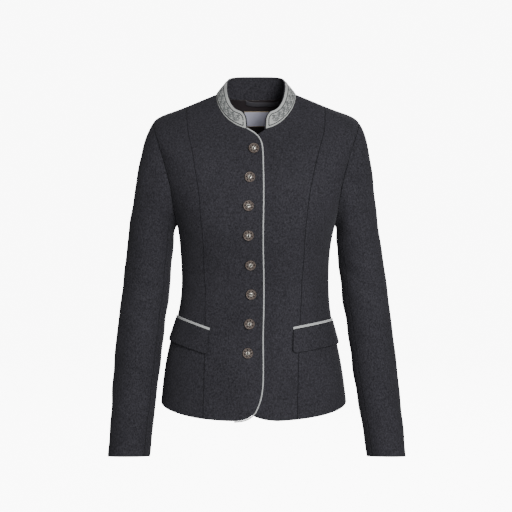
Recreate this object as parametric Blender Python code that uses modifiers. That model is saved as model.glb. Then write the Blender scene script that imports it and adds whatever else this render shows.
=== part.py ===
"""A women's stand-collar blazer in the folk-dress style, filled out as it is worn.

Metres, +Z up. The front faces -Y and the wearer's left is +X. The origin lies midway
between the neck ends of the two shoulder seams, where the wearer's shoulders carry it.

The body is one smooth surface, lofted through the rings of a table. Seams, the front
edges and the armholes are lines drawn on it, as seen from the front or the back, and
each cloth panel is a wall between two of those lines. A place on the body is a spot:
an angle from the centre front and a level from the hem, 0, to the neck seam, 1.
"""

import math
from collections import namedtuple

import bmesh
import bpy
import numpy as np
from mathutils import Vector

CLOTH = 0.0020  # wall of the body and sleeves: wool, interlining and lining
COLLAR_CLOTH = 0.0016
LINING_CLOTH = 0.0010
TAPE = 0.0010  # hanger loop and label
SEAM_GAP = 0.0003
REST_GAP = 0.0005  # between a panel and what lies on its outer face
TAPE_GAP = 0.0007  # between the lining and the label or the loop
TUCK = 0.0038  # how deep the under front lies behind the top front's face
TUCK_START, TUCK_FADE = 0.0075, 0.020  # from the top front's edge, and its run out
PIPING_RADIUS = 0.0013
PIPING_DEPTH = 0.0004  # from the cloth's face back to the piping's centre line

# The body's rings, from the hem up. A ring has a height and a depth at the front, at
# the back, and a height at the sides. "square" is its superellipse exponent, and "rise"
# is the power of the cosine by which the height runs from the sides to the middle.
Ring = namedtuple("Ring", "side_z front_z back_z half_width front_y back_y shift square rise")
RINGS = (
    Ring(-0.595, -0.605, -0.594, 0.1810, -0.130, 0.130, -0.0045, 2.30, 1.60),  # hem
    Ring(-0.540, -0.546, -0.540, 0.1742, -0.124, 0.123, -0.0050, 2.30, 1.60),
    Ring(-0.480, -0.483, -0.480, 0.1625, -0.116, 0.111, -0.0050, 2.25, 1.60),  # hip
    Ring(-0.420, -0.421, -0.420, 0.1478, -0.109, 0.096, -0.0030, 2.25, 1.60),
    Ring(-0.360, -0.361, -0.360, 0.1420, -0.108, 0.084, -0.0015, 2.25, 1.60),  # waist
    Ring(-0.300, -0.303, -0.300, 0.1440, -0.119, 0.087, -0.0015, 2.30, 1.60),
    Ring(-0.250, -0.258, -0.250, 0.1510, -0.131, 0.093, 0.000, 2.35, 1.60),  # bust
    Ring(-0.200, -0.224, -0.203, 0.1660, -0.131, 0.098, 0.000, 2.35, 1.55),
    Ring(-0.150, -0.194, -0.162, 0.1810, -0.125, 0.099, 0.000, 2.30, 1.50),
    Ring(-0.100, -0.166, -0.127, 0.1915, -0.117, 0.096, 0.000, 2.30, 1.45),
    Ring(-0.0535, -0.137, -0.093, 0.1958, -0.108, 0.091, 0.000, 2.30, 1.40),  # shoulder tip
    Ring(-0.032, -0.110, -0.064, 0.1560, -0.096, 0.083, 0.000, 2.25, 1.35),
    Ring(-0.016, -0.086, -0.038, 0.1150, -0.082, 0.073, 0.000, 2.20, 1.25),
    Ring(0.000, -0.062, -0.012, 0.0760, -0.066, 0.060, 0.000, 2.20, 1.15),  # neck seam
)
SHOULDER_TIP_RING = 10

# Lines drawn on the body as (x, z) points, from the hem up.
RIGHT_FRONT_EDGE = (
    (-0.0410, -0.6040), (-0.0185, -0.6000), (-0.0065, -0.5920), (0.0030, -0.5760),
    (0.0100, -0.5500), (0.0122, -0.5180), (0.0118, -0.4570), (0.0128, -0.4000),
    (0.0131, -0.3400), (0.0117, -0.2560), (0.0127, -0.1600), (0.0119, -0.1200),
    (0.0105, -0.0940), (0.0080, -0.0830),
    (0.0033, -0.0750), (-0.0035, -0.0690), (-0.0110, -0.0645), (-0.0186, -0.0604),
)
LEFT_FRONT_EDGE = (
    (0.0400, -0.6040), (0.0110, -0.6000), (-0.0050, -0.5945), (-0.0180, -0.5830),
    (-0.0280, -0.5600), (-0.0335, -0.5250), (-0.0340, -0.4000), (-0.0340, -0.2560),
    (-0.0330, -0.1700), (-0.0290, -0.1300), (-0.0220, -0.1020), (-0.0130, -0.0840),
    (-0.0040, -0.0735), (0.0045, -0.0675), (0.0115, -0.0640), (0.0186, -0.0604),
)
RIGHT_FRONT_SEAM = (
    (-0.1000, -0.6030), (-0.0970, -0.4870), (-0.0960, -0.3770), (-0.0975, -0.3190),
    (-0.0990, -0.2610), (-0.1030, -0.2100), (-0.1070, -0.1680), (-0.1130, -0.1300),
    (-0.1200, -0.0930), (-0.1260, -0.0700), (-0.1310, -0.0220),
)
LEFT_FRONT_SEAM = (
    (0.0780, -0.6030), (0.0800, -0.4870), (0.0850, -0.3770), (0.0880, -0.3190),
    (0.0910, -0.2610), (0.0950, -0.2100), (0.1010, -0.1680), (0.1090, -0.1300),
    (0.1190, -0.0930), (0.1260, -0.0700), (0.1310, -0.0220),
)
BACK_SEAM = (  # on the wearer's left, and mirrored on the right
    (0.0920, -0.5940), (0.0820, -0.5000), (0.0740, -0.4300), (0.0710, -0.3700),
    (0.0740, -0.3200), (0.0820, -0.2600), (0.0920, -0.2000), (0.1040, -0.1400),
    (0.1180, -0.0850), (0.1310, -0.0220),
)
ARMHOLE_FRONT = (
    (0.1510, -0.2500), (0.1530, -0.2280), (0.1555, -0.2050), (0.1590, -0.1770),
    (0.1650, -0.1490), (0.1720, -0.1240), (0.1795, -0.1010), (0.1880, -0.0750),
    (0.1958, -0.0535),
)
ARMHOLE_BACK = (
    (0.1510, -0.2500), (0.1522, -0.2280), (0.1542, -0.2050), (0.1580, -0.1800),
    (0.1640, -0.1550), (0.1715, -0.1280), (0.1795, -0.1010), (0.1885, -0.0740),
    (0.1958, -0.0535),
)
Turn = namedtuple("Turn", "z angle")
SIDE_SEAM = (Turn(-0.595, 104.0), Turn(-0.430, 102.0), Turn(-0.330, 99.0), Turn(-0.250, 90.0))
FINE_STEPS = 90  # samples along a drawn line

# Rows of a body panel. A line meets each of these rows at the height beside it.
PANEL_COLUMNS = 6
ROW_HIP, ROW_BUST, ROW_CHEST, ROW_COLLAR, ROW_TOP = 4, 13, 16, 20, 26
ROW_LINING = 16  # the lining that shows starts here
HIP_Z, BUST_Z, CHEST_Z = -0.530, -0.256, -0.120
COLLAR_END_X, COLLAR_END_Z = 0.0186, -0.0604  # foot of the collar's front ends

# The sleeves' sections, from the upper arm to the cuff: the outer and inner edges as
# seen from the front, the middle's y, half the depth, and how much the front is raised
# for each metre it lies forward.
Section = namedtuple("Section", "z right_outer right_inner left_outer left_inner y half_depth tilt")
SECTIONS = (
    Section(-0.285, 0.2478, 0.1582, 0.2403, 0.1542, 0.003, 0.0598, 0.00),  # upper arm
    Section(-0.340, 0.2553, 0.1637, 0.2493, 0.1612, 0.007, 0.0568, 0.00),
    Section(-0.400, 0.2623, 0.1707, 0.2583, 0.1692, 0.007, 0.0543, 0.04),  # elbow
    Section(-0.460, 0.2708, 0.1782, 0.2663, 0.1782, 0.000, 0.0518, 0.10),
    Section(-0.520, 0.2758, 0.1857, 0.2730, 0.1862, -0.010, 0.0493, 0.16),
    Section(-0.580, 0.2798, 0.1927, 0.2796, 0.1962, -0.022, 0.0473, 0.20),
    Section(-0.640, 0.2830, 0.1997, 0.2860, 0.2062, -0.034, 0.0458, 0.24),
    Section(-0.696, 0.2866, 0.2055, 0.2896, 0.2142, -0.045, 0.0448, 0.26),  # cuff
)
SLEEVE_SQUARE = 2.15
CAP_ROWS, ARM_ROWS = 7, 9
CAP_CROWDING = 1.25  # crowds the cap's rows towards the armhole
FRONT_SLEEVE_SEAM, BACK_SLEEVE_SEAM = 10, 18  # armhole steps from the tip, by the front
TIP_TURN, UNDERARM_TURN = 8.0, 125.0  # from the body's face to the sleeve's, outwards
TURN_POWER = 0.8
TIP_PULL, UNDERARM_PULL = 0.090, 0.035  # how far the cap keeps its first direction

# Soft troughs, with a negative height, and ridges. Turn 0 runs across the body.
Fold = namedtuple("Fold", "x z back turn length width height")
BODY_FOLDS = (
    Fold(-0.118, -0.368, False, 8, 0.060, 0.018, -0.0024),
    Fold(0.112, -0.355, False, -10, 0.056, 0.017, -0.0022),
    Fold(-0.114, -0.300, False, 48, 0.056, 0.016, -0.0018),
    Fold(0.112, -0.292, False, -46, 0.052, 0.016, -0.0018),
    Fold(-0.060, -0.372, True, 24, 0.075, 0.018, -0.0030),
    Fold(0.056, -0.380, True, -22, 0.080, 0.018, -0.0030),
    Fold(-0.072, -0.325, True, 32, 0.060, 0.016, -0.0024),
    Fold(0.070, -0.332, True, -34, 0.062, 0.016, -0.0024),
)
# On a sleeve a fold lies at an angle from the outer side, where 90 is the front.
SleeveFold = namedtuple("SleeveFold", "angle z turn length width height")
SLEEVE_FOLDS = (
    SleeveFold(78, -0.372, 24, 0.060, 0.017, -0.0026),
    SleeveFold(100, -0.415, -20, 0.055, 0.017, -0.0028),
    SleeveFold(118, -0.340, 28, 0.050, 0.016, -0.0022),
    SleeveFold(250, -0.395, 10, 0.060, 0.020, 0.0022),
    SleeveFold(42, -0.500, 84, 0.130, 0.020, -0.0018),
)

# The collar's upper edge: its height at angles from the centre front, and its ring.
Edge = namedtuple("Edge", "angle z")
COLLAR_TOP = (
    Edge(0, -0.0290), Edge(30, -0.0265), Edge(50, -0.0160), Edge(70, 0.0010),
    Edge(90, 0.0185), Edge(110, 0.0275), Edge(140, 0.0310), Edge(180, 0.0315),
)
COLLAR_HALF_WIDTH, COLLAR_FRONT_Y, COLLAR_BACK_Y, COLLAR_SQUARE = 0.0560, -0.0575, 0.0520, 2.9
COLLAR_BOW = 0.0022  # how far the collar bows out between its edges
COLLAR_DEPTH_SHARE = 1.2  # turns the bow's way out towards the front and the back
COLLAR_CORNER = 0.017  # radius of the round corner at each front end
COLLAR_ROWS = 3
CORNER_COLUMNS = 5  # in place of two, at each round corner

POCKET_MIDDLE_X, POCKET_IN = -0.0083, 0.0777  # button line, and from it to the flap
POCKET_OUT_ANGLE = 86.4
POCKET_RISE = 0.019  # of the edge's middle, so that it looks straight from the front
# The heights of each pocket's upper edge, on the wearer's right and then on the left.
Pocket = namedtuple("Pocket", "in_z out_z")
POCKETS = (Pocket(-0.4318, -0.4236), Pocket(-0.4295, -0.4300))
WELT_HEIGHT, WELT_CLOTH = 0.0046, 0.0018
FLAP_HEIGHT, FLAP_CLOTH, FLAP_CORNER, FLAP_SLANT, FLAP_LIFT = 0.0445, 0.0022, 0.009, -0.0045, 0.0020
FLAP_COLUMNS, FLAP_ROWS = 10, 4

BUTTON_RADIUS = 0.0097
# The button's section, from the middle of its face over the rim to its back.
BUTTON_PROFILE = (
    (0.0000, 0.0042), (0.0030, 0.0036), (0.0040, 0.0029), (0.0070, 0.0032),
    (0.0088, 0.0040), (BUTTON_RADIUS, 0.0028), (0.0088, 0.0000), (0.0000, 0.0000),
)
BUTTON_STEPS = 16
# The lift seats a button's back on the cloth, whose wall is flat between its rows.
Button = namedtuple("Button", "x z lift")
BUTTONS = (
    Button(-0.0039, -0.0963, 0.0007), Button(-0.0112, -0.1468, 0.0002),
    Button(-0.0136, -0.1983, 0.0000), Button(-0.0136, -0.2518, 0.0004),
    Button(-0.0100, -0.3088, 0.0009), Button(-0.0090, -0.3658, 0.0009),
    Button(-0.0120, -0.4218, 0.0009), Button(-0.0152, -0.4763, 0.0008),
)

LOOP_X, LOOP_HALF_WIDTH, LOOP_HEIGHT = 0.0130, 0.0330, 0.0080
LOOP_TOP_Z, LOOP_SAG, LOOP_STAND_OFF = -0.0118, 0.0032, 0.0020
LOOP_COLUMNS, LOOP_SQUARE = 8, 4  # the power by which the loop hangs flat in its middle
LABEL_X, LABEL_HALF_WIDTH, LABEL_TOP_Z, LABEL_LOW_Z = 0.0012, 0.0245, -0.0338, -0.0646
LABEL_COLUMNS, LABEL_ROWS = 6, 2

Finish = namedtuple("Finish", "colour roughness metallic")
WOOL = Finish((0.040, 0.039, 0.045), 0.95, 0.0)
FELT = Finish((0.36, 0.37, 0.36), 0.90, 0.0)
LINING = Finish((0.020, 0.018, 0.022), 0.55, 0.0)
SATIN = Finish((0.075, 0.073, 0.080), 0.40, 0.0)
WOVEN_LABEL = Finish((0.40, 0.40, 0.47), 0.60, 0.0)
HORN = Finish((0.17, 0.125, 0.095), 0.40, 0.6)

RIGHT, LEFT = -1, 1  # the sign of x on the wearer's side
SIDES = {RIGHT: "right", LEFT: "left"}
SLOPE_ANGLE, SLOPE_LEVEL = 3.0, 0.008  # the reach over which the body's face is averaged
SHARP_ANGLE = 40  # degrees between faces that meet at an edge
HALVINGS = 24


def spline(knots, values):
    """A natural cubic spline through rows of values at the knots, as a function."""
    knots, values = np.asarray(knots, float), np.asarray(values, float)
    gaps = np.diff(knots)
    slopes = (np.diff(values, axis=0).T / gaps).T
    system = np.eye(len(knots))
    right = np.zeros_like(values)
    for i in range(1, len(knots) - 1):
        system[i, i - 1 : i + 2] = gaps[i - 1], 2 * (gaps[i - 1] + gaps[i]), gaps[i]
        right[i] = 6 * (slopes[i] - slopes[i - 1])
    bends = np.linalg.solve(system, right)

    def value_at(knot):
        i = int(np.clip(np.searchsorted(knots, knot) - 1, 0, len(gaps) - 1))
        before, after, gap = knot - knots[i], knots[i + 1] - knot, gaps[i]
        return (
            (bends[i] * after**3 + bends[i + 1] * before**3) / (6 * gap)
            + (values[i] / gap - bends[i] * gap / 6) * after
            + (values[i + 1] / gap - bends[i + 1] * gap / 6) * before
        )

    return value_at


def along(points):
    """Distances along a line of points, from 0."""
    steps = np.linalg.norm(np.diff(np.asarray(points, float), axis=0), axis=1)
    return np.concatenate([[0.0], np.cumsum(steps)])


def unit(vectors):
    return vectors / np.linalg.norm(vectors, axis=-1, keepdims=True)


def ease(share):
    """0 to 1 with no kink at either end."""
    share = min(1.0, max(0.0, share))
    return share * share * (3 - 2 * share)


def round_drop(distance, radius):
    """How far a round corner drops at this distance from the end of an edge."""
    if distance >= radius:
        return 0.0
    return radius - math.sqrt(radius**2 - (radius - max(distance, 0.0)) ** 2)


def turned_height(fold, across, up):
    """A fold's height at a place given from its middle."""
    turn = math.radians(fold.turn)
    length = (across * math.cos(turn) + up * math.sin(turn)) / fold.length
    width = (up * math.cos(turn) - across * math.sin(turn)) / fold.width
    return fold.height * math.exp(-2 * (length**2 + width**2))


def power(value, exponent):
    return math.copysign(abs(value) ** exponent, value)


def ring_levels():
    """Each ring's level, spaced as the rings are at the front, side and back."""
    lines = (
        [(0.0, ring.front_y, ring.front_z) for ring in RINGS],
        [(ring.half_width, 0.0, ring.side_z) for ring in RINGS],
        [(0.0, ring.back_y, ring.back_z) for ring in RINGS],
    )
    spacing = sum(along(line) for line in lines)
    return spacing / spacing[-1]


LEVELS = ring_levels()
ring_values = spline(LEVELS, RINGS)


def point_on_ring(ring, angle):
    """A ring's point at an angle: 0 is the centre front and 90 the left side."""
    sine, cosine = math.sin(math.radians(angle)), math.cos(math.radians(angle))
    at_front = cosine > 0
    far_y, far_z = (ring.front_y, ring.front_z) if at_front else (ring.back_y, ring.back_z)
    x = ring.shift + ring.half_width * power(sine, 2 / ring.square)
    y = far_y * abs(cosine) ** (2 / ring.square)
    z = ring.side_z + (far_z - ring.side_z) * abs(cosine) ** ring.rise
    return np.array([x, y, z])


def bare_body(angle, level):
    """The body's outer face without its folds."""
    return point_on_ring(Ring(*ring_values(level)), angle)


def outward(angle, level):
    """The direction out of the body, the same for both panels at a seam."""
    around = bare_body(angle + SLOPE_ANGLE, level) - bare_body(angle - SLOPE_ANGLE, level)
    above, below = min(level + SLOPE_LEVEL, 1.0), max(level - SLOPE_LEVEL, 0.0)
    return unit(np.cross(around, bare_body(angle, above) - bare_body(angle, below)))


def body(angle, level, lift=0.0):
    """A point of the body's outer face, moved out by the lift."""
    point = bare_body(angle, level)
    cosine = math.cos(math.radians(angle))
    fade = ease(2 * abs(cosine))  # no fold reaches the sides
    for fold in BODY_FOLDS:
        if fold.back == (cosine < 0):
            lift += fade * turned_height(fold, point[0] - fold.x, point[2] - fold.z)
    return point + outward(angle, level) * lift


def halving(height_at, z):
    """The level at which a height that grows with the level reaches z."""
    low, high = 0.0, 1.0
    for _ in range(HALVINGS):
        middle = (low + high) / 2
        low, high = (middle, high) if height_at(middle) < z else (low, middle)
    return (low + high) / 2


def level_at(angle, z):
    return halving(lambda level: bare_body(angle, level)[2], z)


def spot(x, z, is_back=False):
    """The spot seen at x, z from the front or the back."""
    def angle_at(level):
        ring = Ring(*ring_values(level))
        share = min(abs(x - ring.shift) / ring.half_width, 1.0)
        angle = math.degrees(math.asin(share ** (ring.square / 2)))
        return math.copysign(180 - angle if is_back else angle, x - ring.shift)

    level = halving(lambda level: bare_body(angle_at(level), level)[2], z)
    return angle_at(level), level


def drawn(line):
    """A drawn line as a fine row of points, on a smooth curve."""
    lengths = along(line)
    curve = spline(lengths, line)
    return np.array([curve(length) for length in np.linspace(0, lengths[-1], FINE_STEPS + 1)])


def spots_along(line, pins, is_back=False):
    """A line's spots, one for each row, even between the pins of row and height."""
    points = drawn(line)
    spots = np.array([spot(x, z, is_back) for x, z in points])
    travelled = along([bare_body(*place) for place in spots])
    rows, heights = zip(*pins)
    pinned = np.interp(heights, points[:, 1], travelled)
    wanted = np.interp(range(rows[0], rows[-1] + 1), rows, pinned)
    angles, levels = (np.interp(wanted, travelled, spots[:, i]) for i in (0, 1))
    return list(zip(angles, levels))


def mirrored(line):
    return tuple((-x, z) for x, z in line)


def neck_spots(first_angle, last_angle):
    angles = np.linspace(first_angle, last_angle, ROW_TOP - ROW_COLLAR + 1)
    return [(angle, 1.0) for angle in angles]


def front_edge(side):
    """The front edge's spots up to the collar, and on along the neck to the shoulder."""
    line = RIGHT_FRONT_EDGE if side == RIGHT else LEFT_FRONT_EDGE
    pins = (
        (0, line[0][1]), (ROW_HIP, HIP_Z), (ROW_BUST, BUST_Z), (ROW_CHEST, CHEST_Z),
        (ROW_COLLAR, line[-1][1]),
    )
    return spots_along(line, pins)[:-1] + neck_spots(collar_end(side), 90.0 * side)


def collar_end(side):
    return spot(COLLAR_END_X * side, COLLAR_END_Z)[0]


def shaped_seam(line, side, is_back=False):
    """A seam over the bust or the shoulder blade, up to the shoulder seam."""
    pins = ((0, line[0][1]), (ROW_HIP, HIP_Z), (ROW_BUST, BUST_Z), (ROW_TOP, line[-1][1]))
    spots = spots_along(line, pins, is_back)
    return spots[:-1] + [(90.0 * side, spots[-1][1])]


def back_seam(side):
    return shaped_seam(BACK_SEAM if side == LEFT else mirrored(BACK_SEAM), side, True)


def centre_back(side):
    """The centre back seam's spots, and on along the neck to the shoulder."""
    rows = (0, ROW_HIP, ROW_BUST, ROW_COLLAR)
    heights = (RINGS[0].back_z, HIP_Z, BUST_Z, RINGS[-1].back_z)
    seam = [
        (180.0 * side, level_at(180.0, z))
        for z in np.interp(range(ROW_COLLAR), rows, heights)
    ]
    return seam + neck_spots(180.0 * side, 90.0 * side)


def side_line(side, is_back):
    """The side seam's spots up to the underarm, and on along the armhole."""
    rows = (0, ROW_HIP, ROW_BUST)
    heights = (RINGS[0].side_z, HIP_Z, SIDE_SEAM[-1].z)
    seam = []
    for z in np.interp(range(ROW_BUST), rows, heights):
        angle = np.interp(z, [turn.z for turn in SIDE_SEAM], [turn.angle for turn in SIDE_SEAM])
        seam.append((angle * side, level_at(angle, z)))
    line = ARMHOLE_BACK if is_back else ARMHOLE_FRONT
    hole = spots_along(line, ((ROW_BUST, line[0][1]), (ROW_TOP, line[-1][1])), is_back)
    underarm = (90.0, level_at(90.0, line[0][1]))
    tip = (90.0, LEVELS[SHOULDER_TIP_RING])
    return seam + [(angle * side, level) for angle, level in [underarm, *hole[1:-1], tip]]


def material(name, finish):
    made = bpy.data.materials.new(name)
    made.use_nodes = True
    shader = made.node_tree.nodes["Principled BSDF"]
    shader.inputs["Base Color"].default_value = (*finish.colour, 1.0)
    shader.inputs["Roughness"].default_value = finish.roughness
    shader.inputs["Metallic"].default_value = finish.metallic
    return made


def add_object(name, data, finish, collection):
    data.materials.append(material(name, finish))
    made = bpy.data.objects.new(name, data)
    collection.objects.link(made)
    return made


def add_wall(name, outer, inner, finish, collection):
    """A cloth wall: a flat grid pulled out into a slab, then laid on its two faces.

    outer and inner hold a point for each column and row.
    """
    columns, rows = outer.shape[0] - 1, outer.shape[1] - 1
    mesh = bmesh.new()
    bmesh.ops.create_grid(mesh, x_segments=columns, y_segments=rows, size=0.5)
    pulled = bmesh.ops.extrude_face_region(mesh, geom=mesh.faces[:], use_keep_orig=True)
    inner_side = {item for item in pulled["geom"] if isinstance(item, bmesh.types.BMVert)}
    for vertex in mesh.verts:
        i = round((vertex.co.x + 0.5) * columns)
        j = round((vertex.co.y + 0.5) * rows)
        vertex.co = inner[i, j] if vertex in inner_side else outer[i, j]
    bmesh.ops.recalc_face_normals(mesh, faces=mesh.faces)
    if mesh.calc_volume(signed=True) < 0:
        bmesh.ops.reverse_faces(mesh, faces=mesh.faces)
    data = bpy.data.meshes.new(name)
    mesh.to_mesh(data)
    mesh.free()
    data.shade_smooth()
    data.set_sharp_from_angle(angle=math.radians(SHARP_ANGLE))
    return add_object(name, data, finish, collection)


def pull_in(outer, inner, rim, beside):
    """Moves one edge of both faces in by half a seam gap."""
    step = unit(outer[beside] - outer[rim]) * SEAM_GAP / 2
    outer[rim] += step
    inner[rim] += step


def add_on_body(name, spots, lifts, cloth, finish, collection, seams=""):
    """A wall on the body's face, from a spot and a lift for each column and row."""
    outer, inner = (
        np.array([
            [body(*place, lift - depth) for place, lift in zip(*column)]
            for column in zip(spots, lifts)
        ])
        for depth in (0.0, cloth)
    )
    edges = {"first": ((0,), (1,)), "last": ((-1,), (-2,)), "top": (np.s_[:, -1], np.s_[:, -2])}
    for edge in seams.split():
        pull_in(outer, inner, *edges[edge])
    return add_wall(name, outer, inner, finish, collection)


def tuck_at(x, z, top_edge):
    """How far the under front lies back at a place, behind and just beside the top."""
    past = 0.0
    if x > np.interp(z, top_edge[:, 1], top_edge[:, 0]):
        past = np.linalg.norm(top_edge - (x, z), axis=1).min()
    return -TUCK * (1 - ease((past - TUCK_START) / TUCK_FADE))


def panel_spots(first, last):
    """Spots for each column and row between two lines."""
    first, last = np.array(first), np.array(last)
    return first + (last - first) * np.linspace(0, 1, PANEL_COLUMNS + 1)[:, None, None]


def add_panel(name, first, last, collection, top_edge=None):
    """A body panel between two lines of spots."""
    spots = panel_spots(first, last)
    lifts = np.zeros(spots.shape[:2])
    if top_edge is not None:
        for i, column in enumerate(spots):
            for j, place in enumerate(column):
                x, _, z = bare_body(*place)
                lifts[i, j] = tuck_at(x, z, top_edge)
    return add_on_body(name, spots, lifts, CLOTH, WOOL, collection, "first last top")


def add_body_panels(collection):
    top_edge = drawn(RIGHT_FRONT_EDGE)
    for side, word in SIDES.items():
        front_seam = shaped_seam(RIGHT_FRONT_SEAM if side == RIGHT else LEFT_FRONT_SEAM, side)
        under = top_edge if side == LEFT else None
        add_panel(f"centre_front_{word}", front_edge(side), front_seam, collection, under)
        add_panel(f"side_front_{word}", front_seam, side_line(side, False), collection)
        add_panel(f"side_back_{word}", back_seam(side), side_line(side, True), collection)
        add_panel(f"centre_back_{word}", centre_back(side), back_seam(side), collection)


def section_point(side, section, angle):
    """A point of a sleeve's section: 0 is its outer side and 90 its front."""
    outer, inner = (
        (section.right_outer, section.right_inner)
        if side == RIGHT
        else (section.left_outer, section.left_inner)
    )
    cosine, sine = math.cos(math.radians(angle)), math.sin(math.radians(angle))
    x = (outer + inner) / 2 + (outer - inner) / 2 * power(cosine, 2 / SLEEVE_SQUARE)
    forward = section.half_depth * power(sine, 2 / SLEEVE_SQUARE)
    return np.array([x * side, section.y - forward, section.z + section.tilt * forward])


def armhole(side):
    """The armhole's points, the way out of the panel there, and the sleeve's start.

    The points run round from the tip by the front. The start is a direction, and how
    far the sleeve keeps it.
    """
    front, back = side_line(side, False)[ROW_BUST:], side_line(side, True)[ROW_BUST:]
    spots = front[::-1] + back[1:-1]
    points = np.array([body(*place) for place in spots])
    facing = np.array([outward(*place) for place in spots])
    run = unit(np.roll(points, -1, axis=0) - np.roll(points, 1, axis=0))
    away = unit(np.cross(facing, run)) * side
    steps = len(front) - 1
    shares = [min(k, len(spots) - k) / steps for k in range(len(spots))]
    turns = [
        math.radians(TIP_TURN + (UNDERARM_TURN - TIP_TURN) * share**TURN_POWER)
        for share in shares
    ]
    directions = [
        away[k] * math.cos(turn) + facing[k] * math.sin(turn) for k, turn in enumerate(turns)
    ]
    pulls = [TIP_PULL + (UNDERARM_PULL - TIP_PULL) * share for share in shares]
    return points, away, np.array(directions), pulls


def sleeve_faces(side):
    """Both faces of a whole sleeve: a point for each step round it and each row down."""
    starts, away, directions, pulls = armhole(side)
    count = len(starts)
    section_at = spline([section.z for section in SECTIONS[::-1]], SECTIONS[::-1])
    top_z, cuff_z = SECTIONS[0].z, SECTIONS[-1].z
    grid = np.zeros((count, CAP_ROWS + ARM_ROWS + 1, 3))
    for k in range(count):
        angle = 360 * k / count

        def arm(z):
            return section_point(side, Section(*section_at(z)), angle)

        start, end = starts[k] + directions[k] * SEAM_GAP, arm(top_z)
        leaving = directions[k] * pulls[k]
        arriving = unit(arm(top_z - 0.01) - end) * np.linalg.norm(end - start)
        for row in range(CAP_ROWS):
            t = (row / CAP_ROWS) ** CAP_CROWDING
            grid[k, row] = (
                (2 * t**3 - 3 * t**2 + 1) * start
                + (t**3 - 2 * t**2 + t) * leaving
                + (3 * t**2 - 2 * t**3) * end
                + (t**3 - t**2) * arriving
            )
        for row in range(ARM_ROWS + 1):
            grid[k, CAP_ROWS + row] = arm(top_z + (cuff_z - top_z) * row / ARM_ROWS)
    round_it = np.roll(grid, -1, axis=0) - np.roll(grid, 1, axis=0)
    facing = unit(np.cross(round_it, np.gradient(grid, axis=1))) * side
    lean = np.sum(facing[:, 0] * away, axis=1, keepdims=True)
    facing[:, 0] = unit(facing[:, 0] - np.maximum(lean, 0.0) * away)  # clear of the panel's wall
    girth = along([*grid[:, CAP_ROWS], grid[0, CAP_ROWS]])[-1]
    for k in range(count):
        for row in range(1, CAP_ROWS + ARM_ROWS):
            height = 0.0
            for fold in SLEEVE_FOLDS:
                turned = (360 * k / count - fold.angle + 180) % 360 - 180
                height += turned_height(fold, turned / 360 * girth, grid[k, row][2] - fold.z)
            grid[k, row] += facing[k, row] * height
    return grid, grid - facing * CLOTH


def add_sleeves(collection):
    for side, word in SIDES.items():
        outer, inner = sleeve_faces(side)
        around = np.arange(len(outer) + 1)
        under = around[FRONT_SLEEVE_SEAM : BACK_SLEEVE_SEAM + 1]
        upper = np.concatenate([around[BACK_SLEEVE_SEAM:-1], around[: FRONT_SLEEVE_SEAM + 1]])
        for name, steps in (("upper_sleeve", upper), ("under_sleeve", under)):
            faces = outer[steps], inner[steps]
            pull_in(*faces, (0,), (1,))
            pull_in(*faces, (-1,), (-2,))
            add_wall(f"{name}_{word}", *faces, WOOL, collection)


def collar_stations():
    """The collar's columns: spots of the neck seam, with more at the round corners."""
    right, left = collar_end(RIGHT), collar_end(LEFT)
    angles = [angle for angle, _ in neck_spots(right, -90.0)]
    angles += [angle for angle, _ in neck_spots(-90.0, -180.0)[1:]]
    angles += [angle for angle, _ in neck_spots(180.0, 90.0)[1:]]
    angles += [angle for angle, _ in neck_spots(90.0, left)[1:]]
    last = len(angles) - 1
    corner = np.linspace(0, 1, CORNER_COLUMNS)
    return angles, [*corner, *range(2, last - 1), *(last - corner[::-1])]


def collar_faces(depth, cloth):
    """Both faces of one of the collar's cloths, depth behind its outer face."""
    angles, stations = collar_stations()
    seam = np.array([body(angle, 1.0) for angle in angles])
    height_at = spline([edge.angle for edge in COLLAR_TOP], [[edge.z] for edge in COLLAR_TOP])
    round_angles = np.unwrap(np.radians(angles))
    outer = np.zeros((len(stations), COLLAR_ROWS + 1, 3))
    for i, station in enumerate(stations):
        foot = [np.interp(station, range(len(angles)), seam[:, axis]) for axis in range(3)]
        foot = np.array(foot) + (0.0, 0.0, SEAM_GAP)
        angle = math.degrees(np.interp(station, range(len(angles)), round_angles))
        sine, cosine = math.sin(math.radians(angle)), math.cos(math.radians(angle))
        far_y = COLLAR_FRONT_Y if cosine > 0 else COLLAR_BACK_Y
        from_front = math.degrees(math.acos(max(-1.0, min(1.0, cosine))))
        top = np.array([
            COLLAR_HALF_WIDTH * power(sine, 2 / COLLAR_SQUARE),
            far_y * abs(cosine) ** (2 / COLLAR_SQUARE),
            height_at(from_front)[0],
        ])
        from_end = min(station, stations[-1] - station) * np.linalg.norm(seam[1] - seam[0])
        height = np.linalg.norm(top - foot)
        share = 1 - round_drop(from_end, COLLAR_CORNER) / height
        away = unit(np.array([foot[0], foot[1] * COLLAR_DEPTH_SHARE, 0.0]))
        for row in range(COLLAR_ROWS + 1):
            up = share * row / COLLAR_ROWS
            outer[i, row] = foot + (top - foot) * up + away * COLLAR_BOW * 4 * up * (1 - up)
    facing = unit(np.cross(np.gradient(outer, axis=1), np.gradient(outer, axis=0)))
    return outer - facing * depth, outer - facing * (depth + cloth)


def add_collar(collection):
    outer = collar_faces(0.0, COLLAR_CLOTH)
    add_wall("collar_outer", *outer, FELT, collection)
    inner = collar_faces(COLLAR_CLOTH + SEAM_GAP, COLLAR_CLOTH)
    add_wall("collar_inner", *inner, WOOL, collection)


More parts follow.
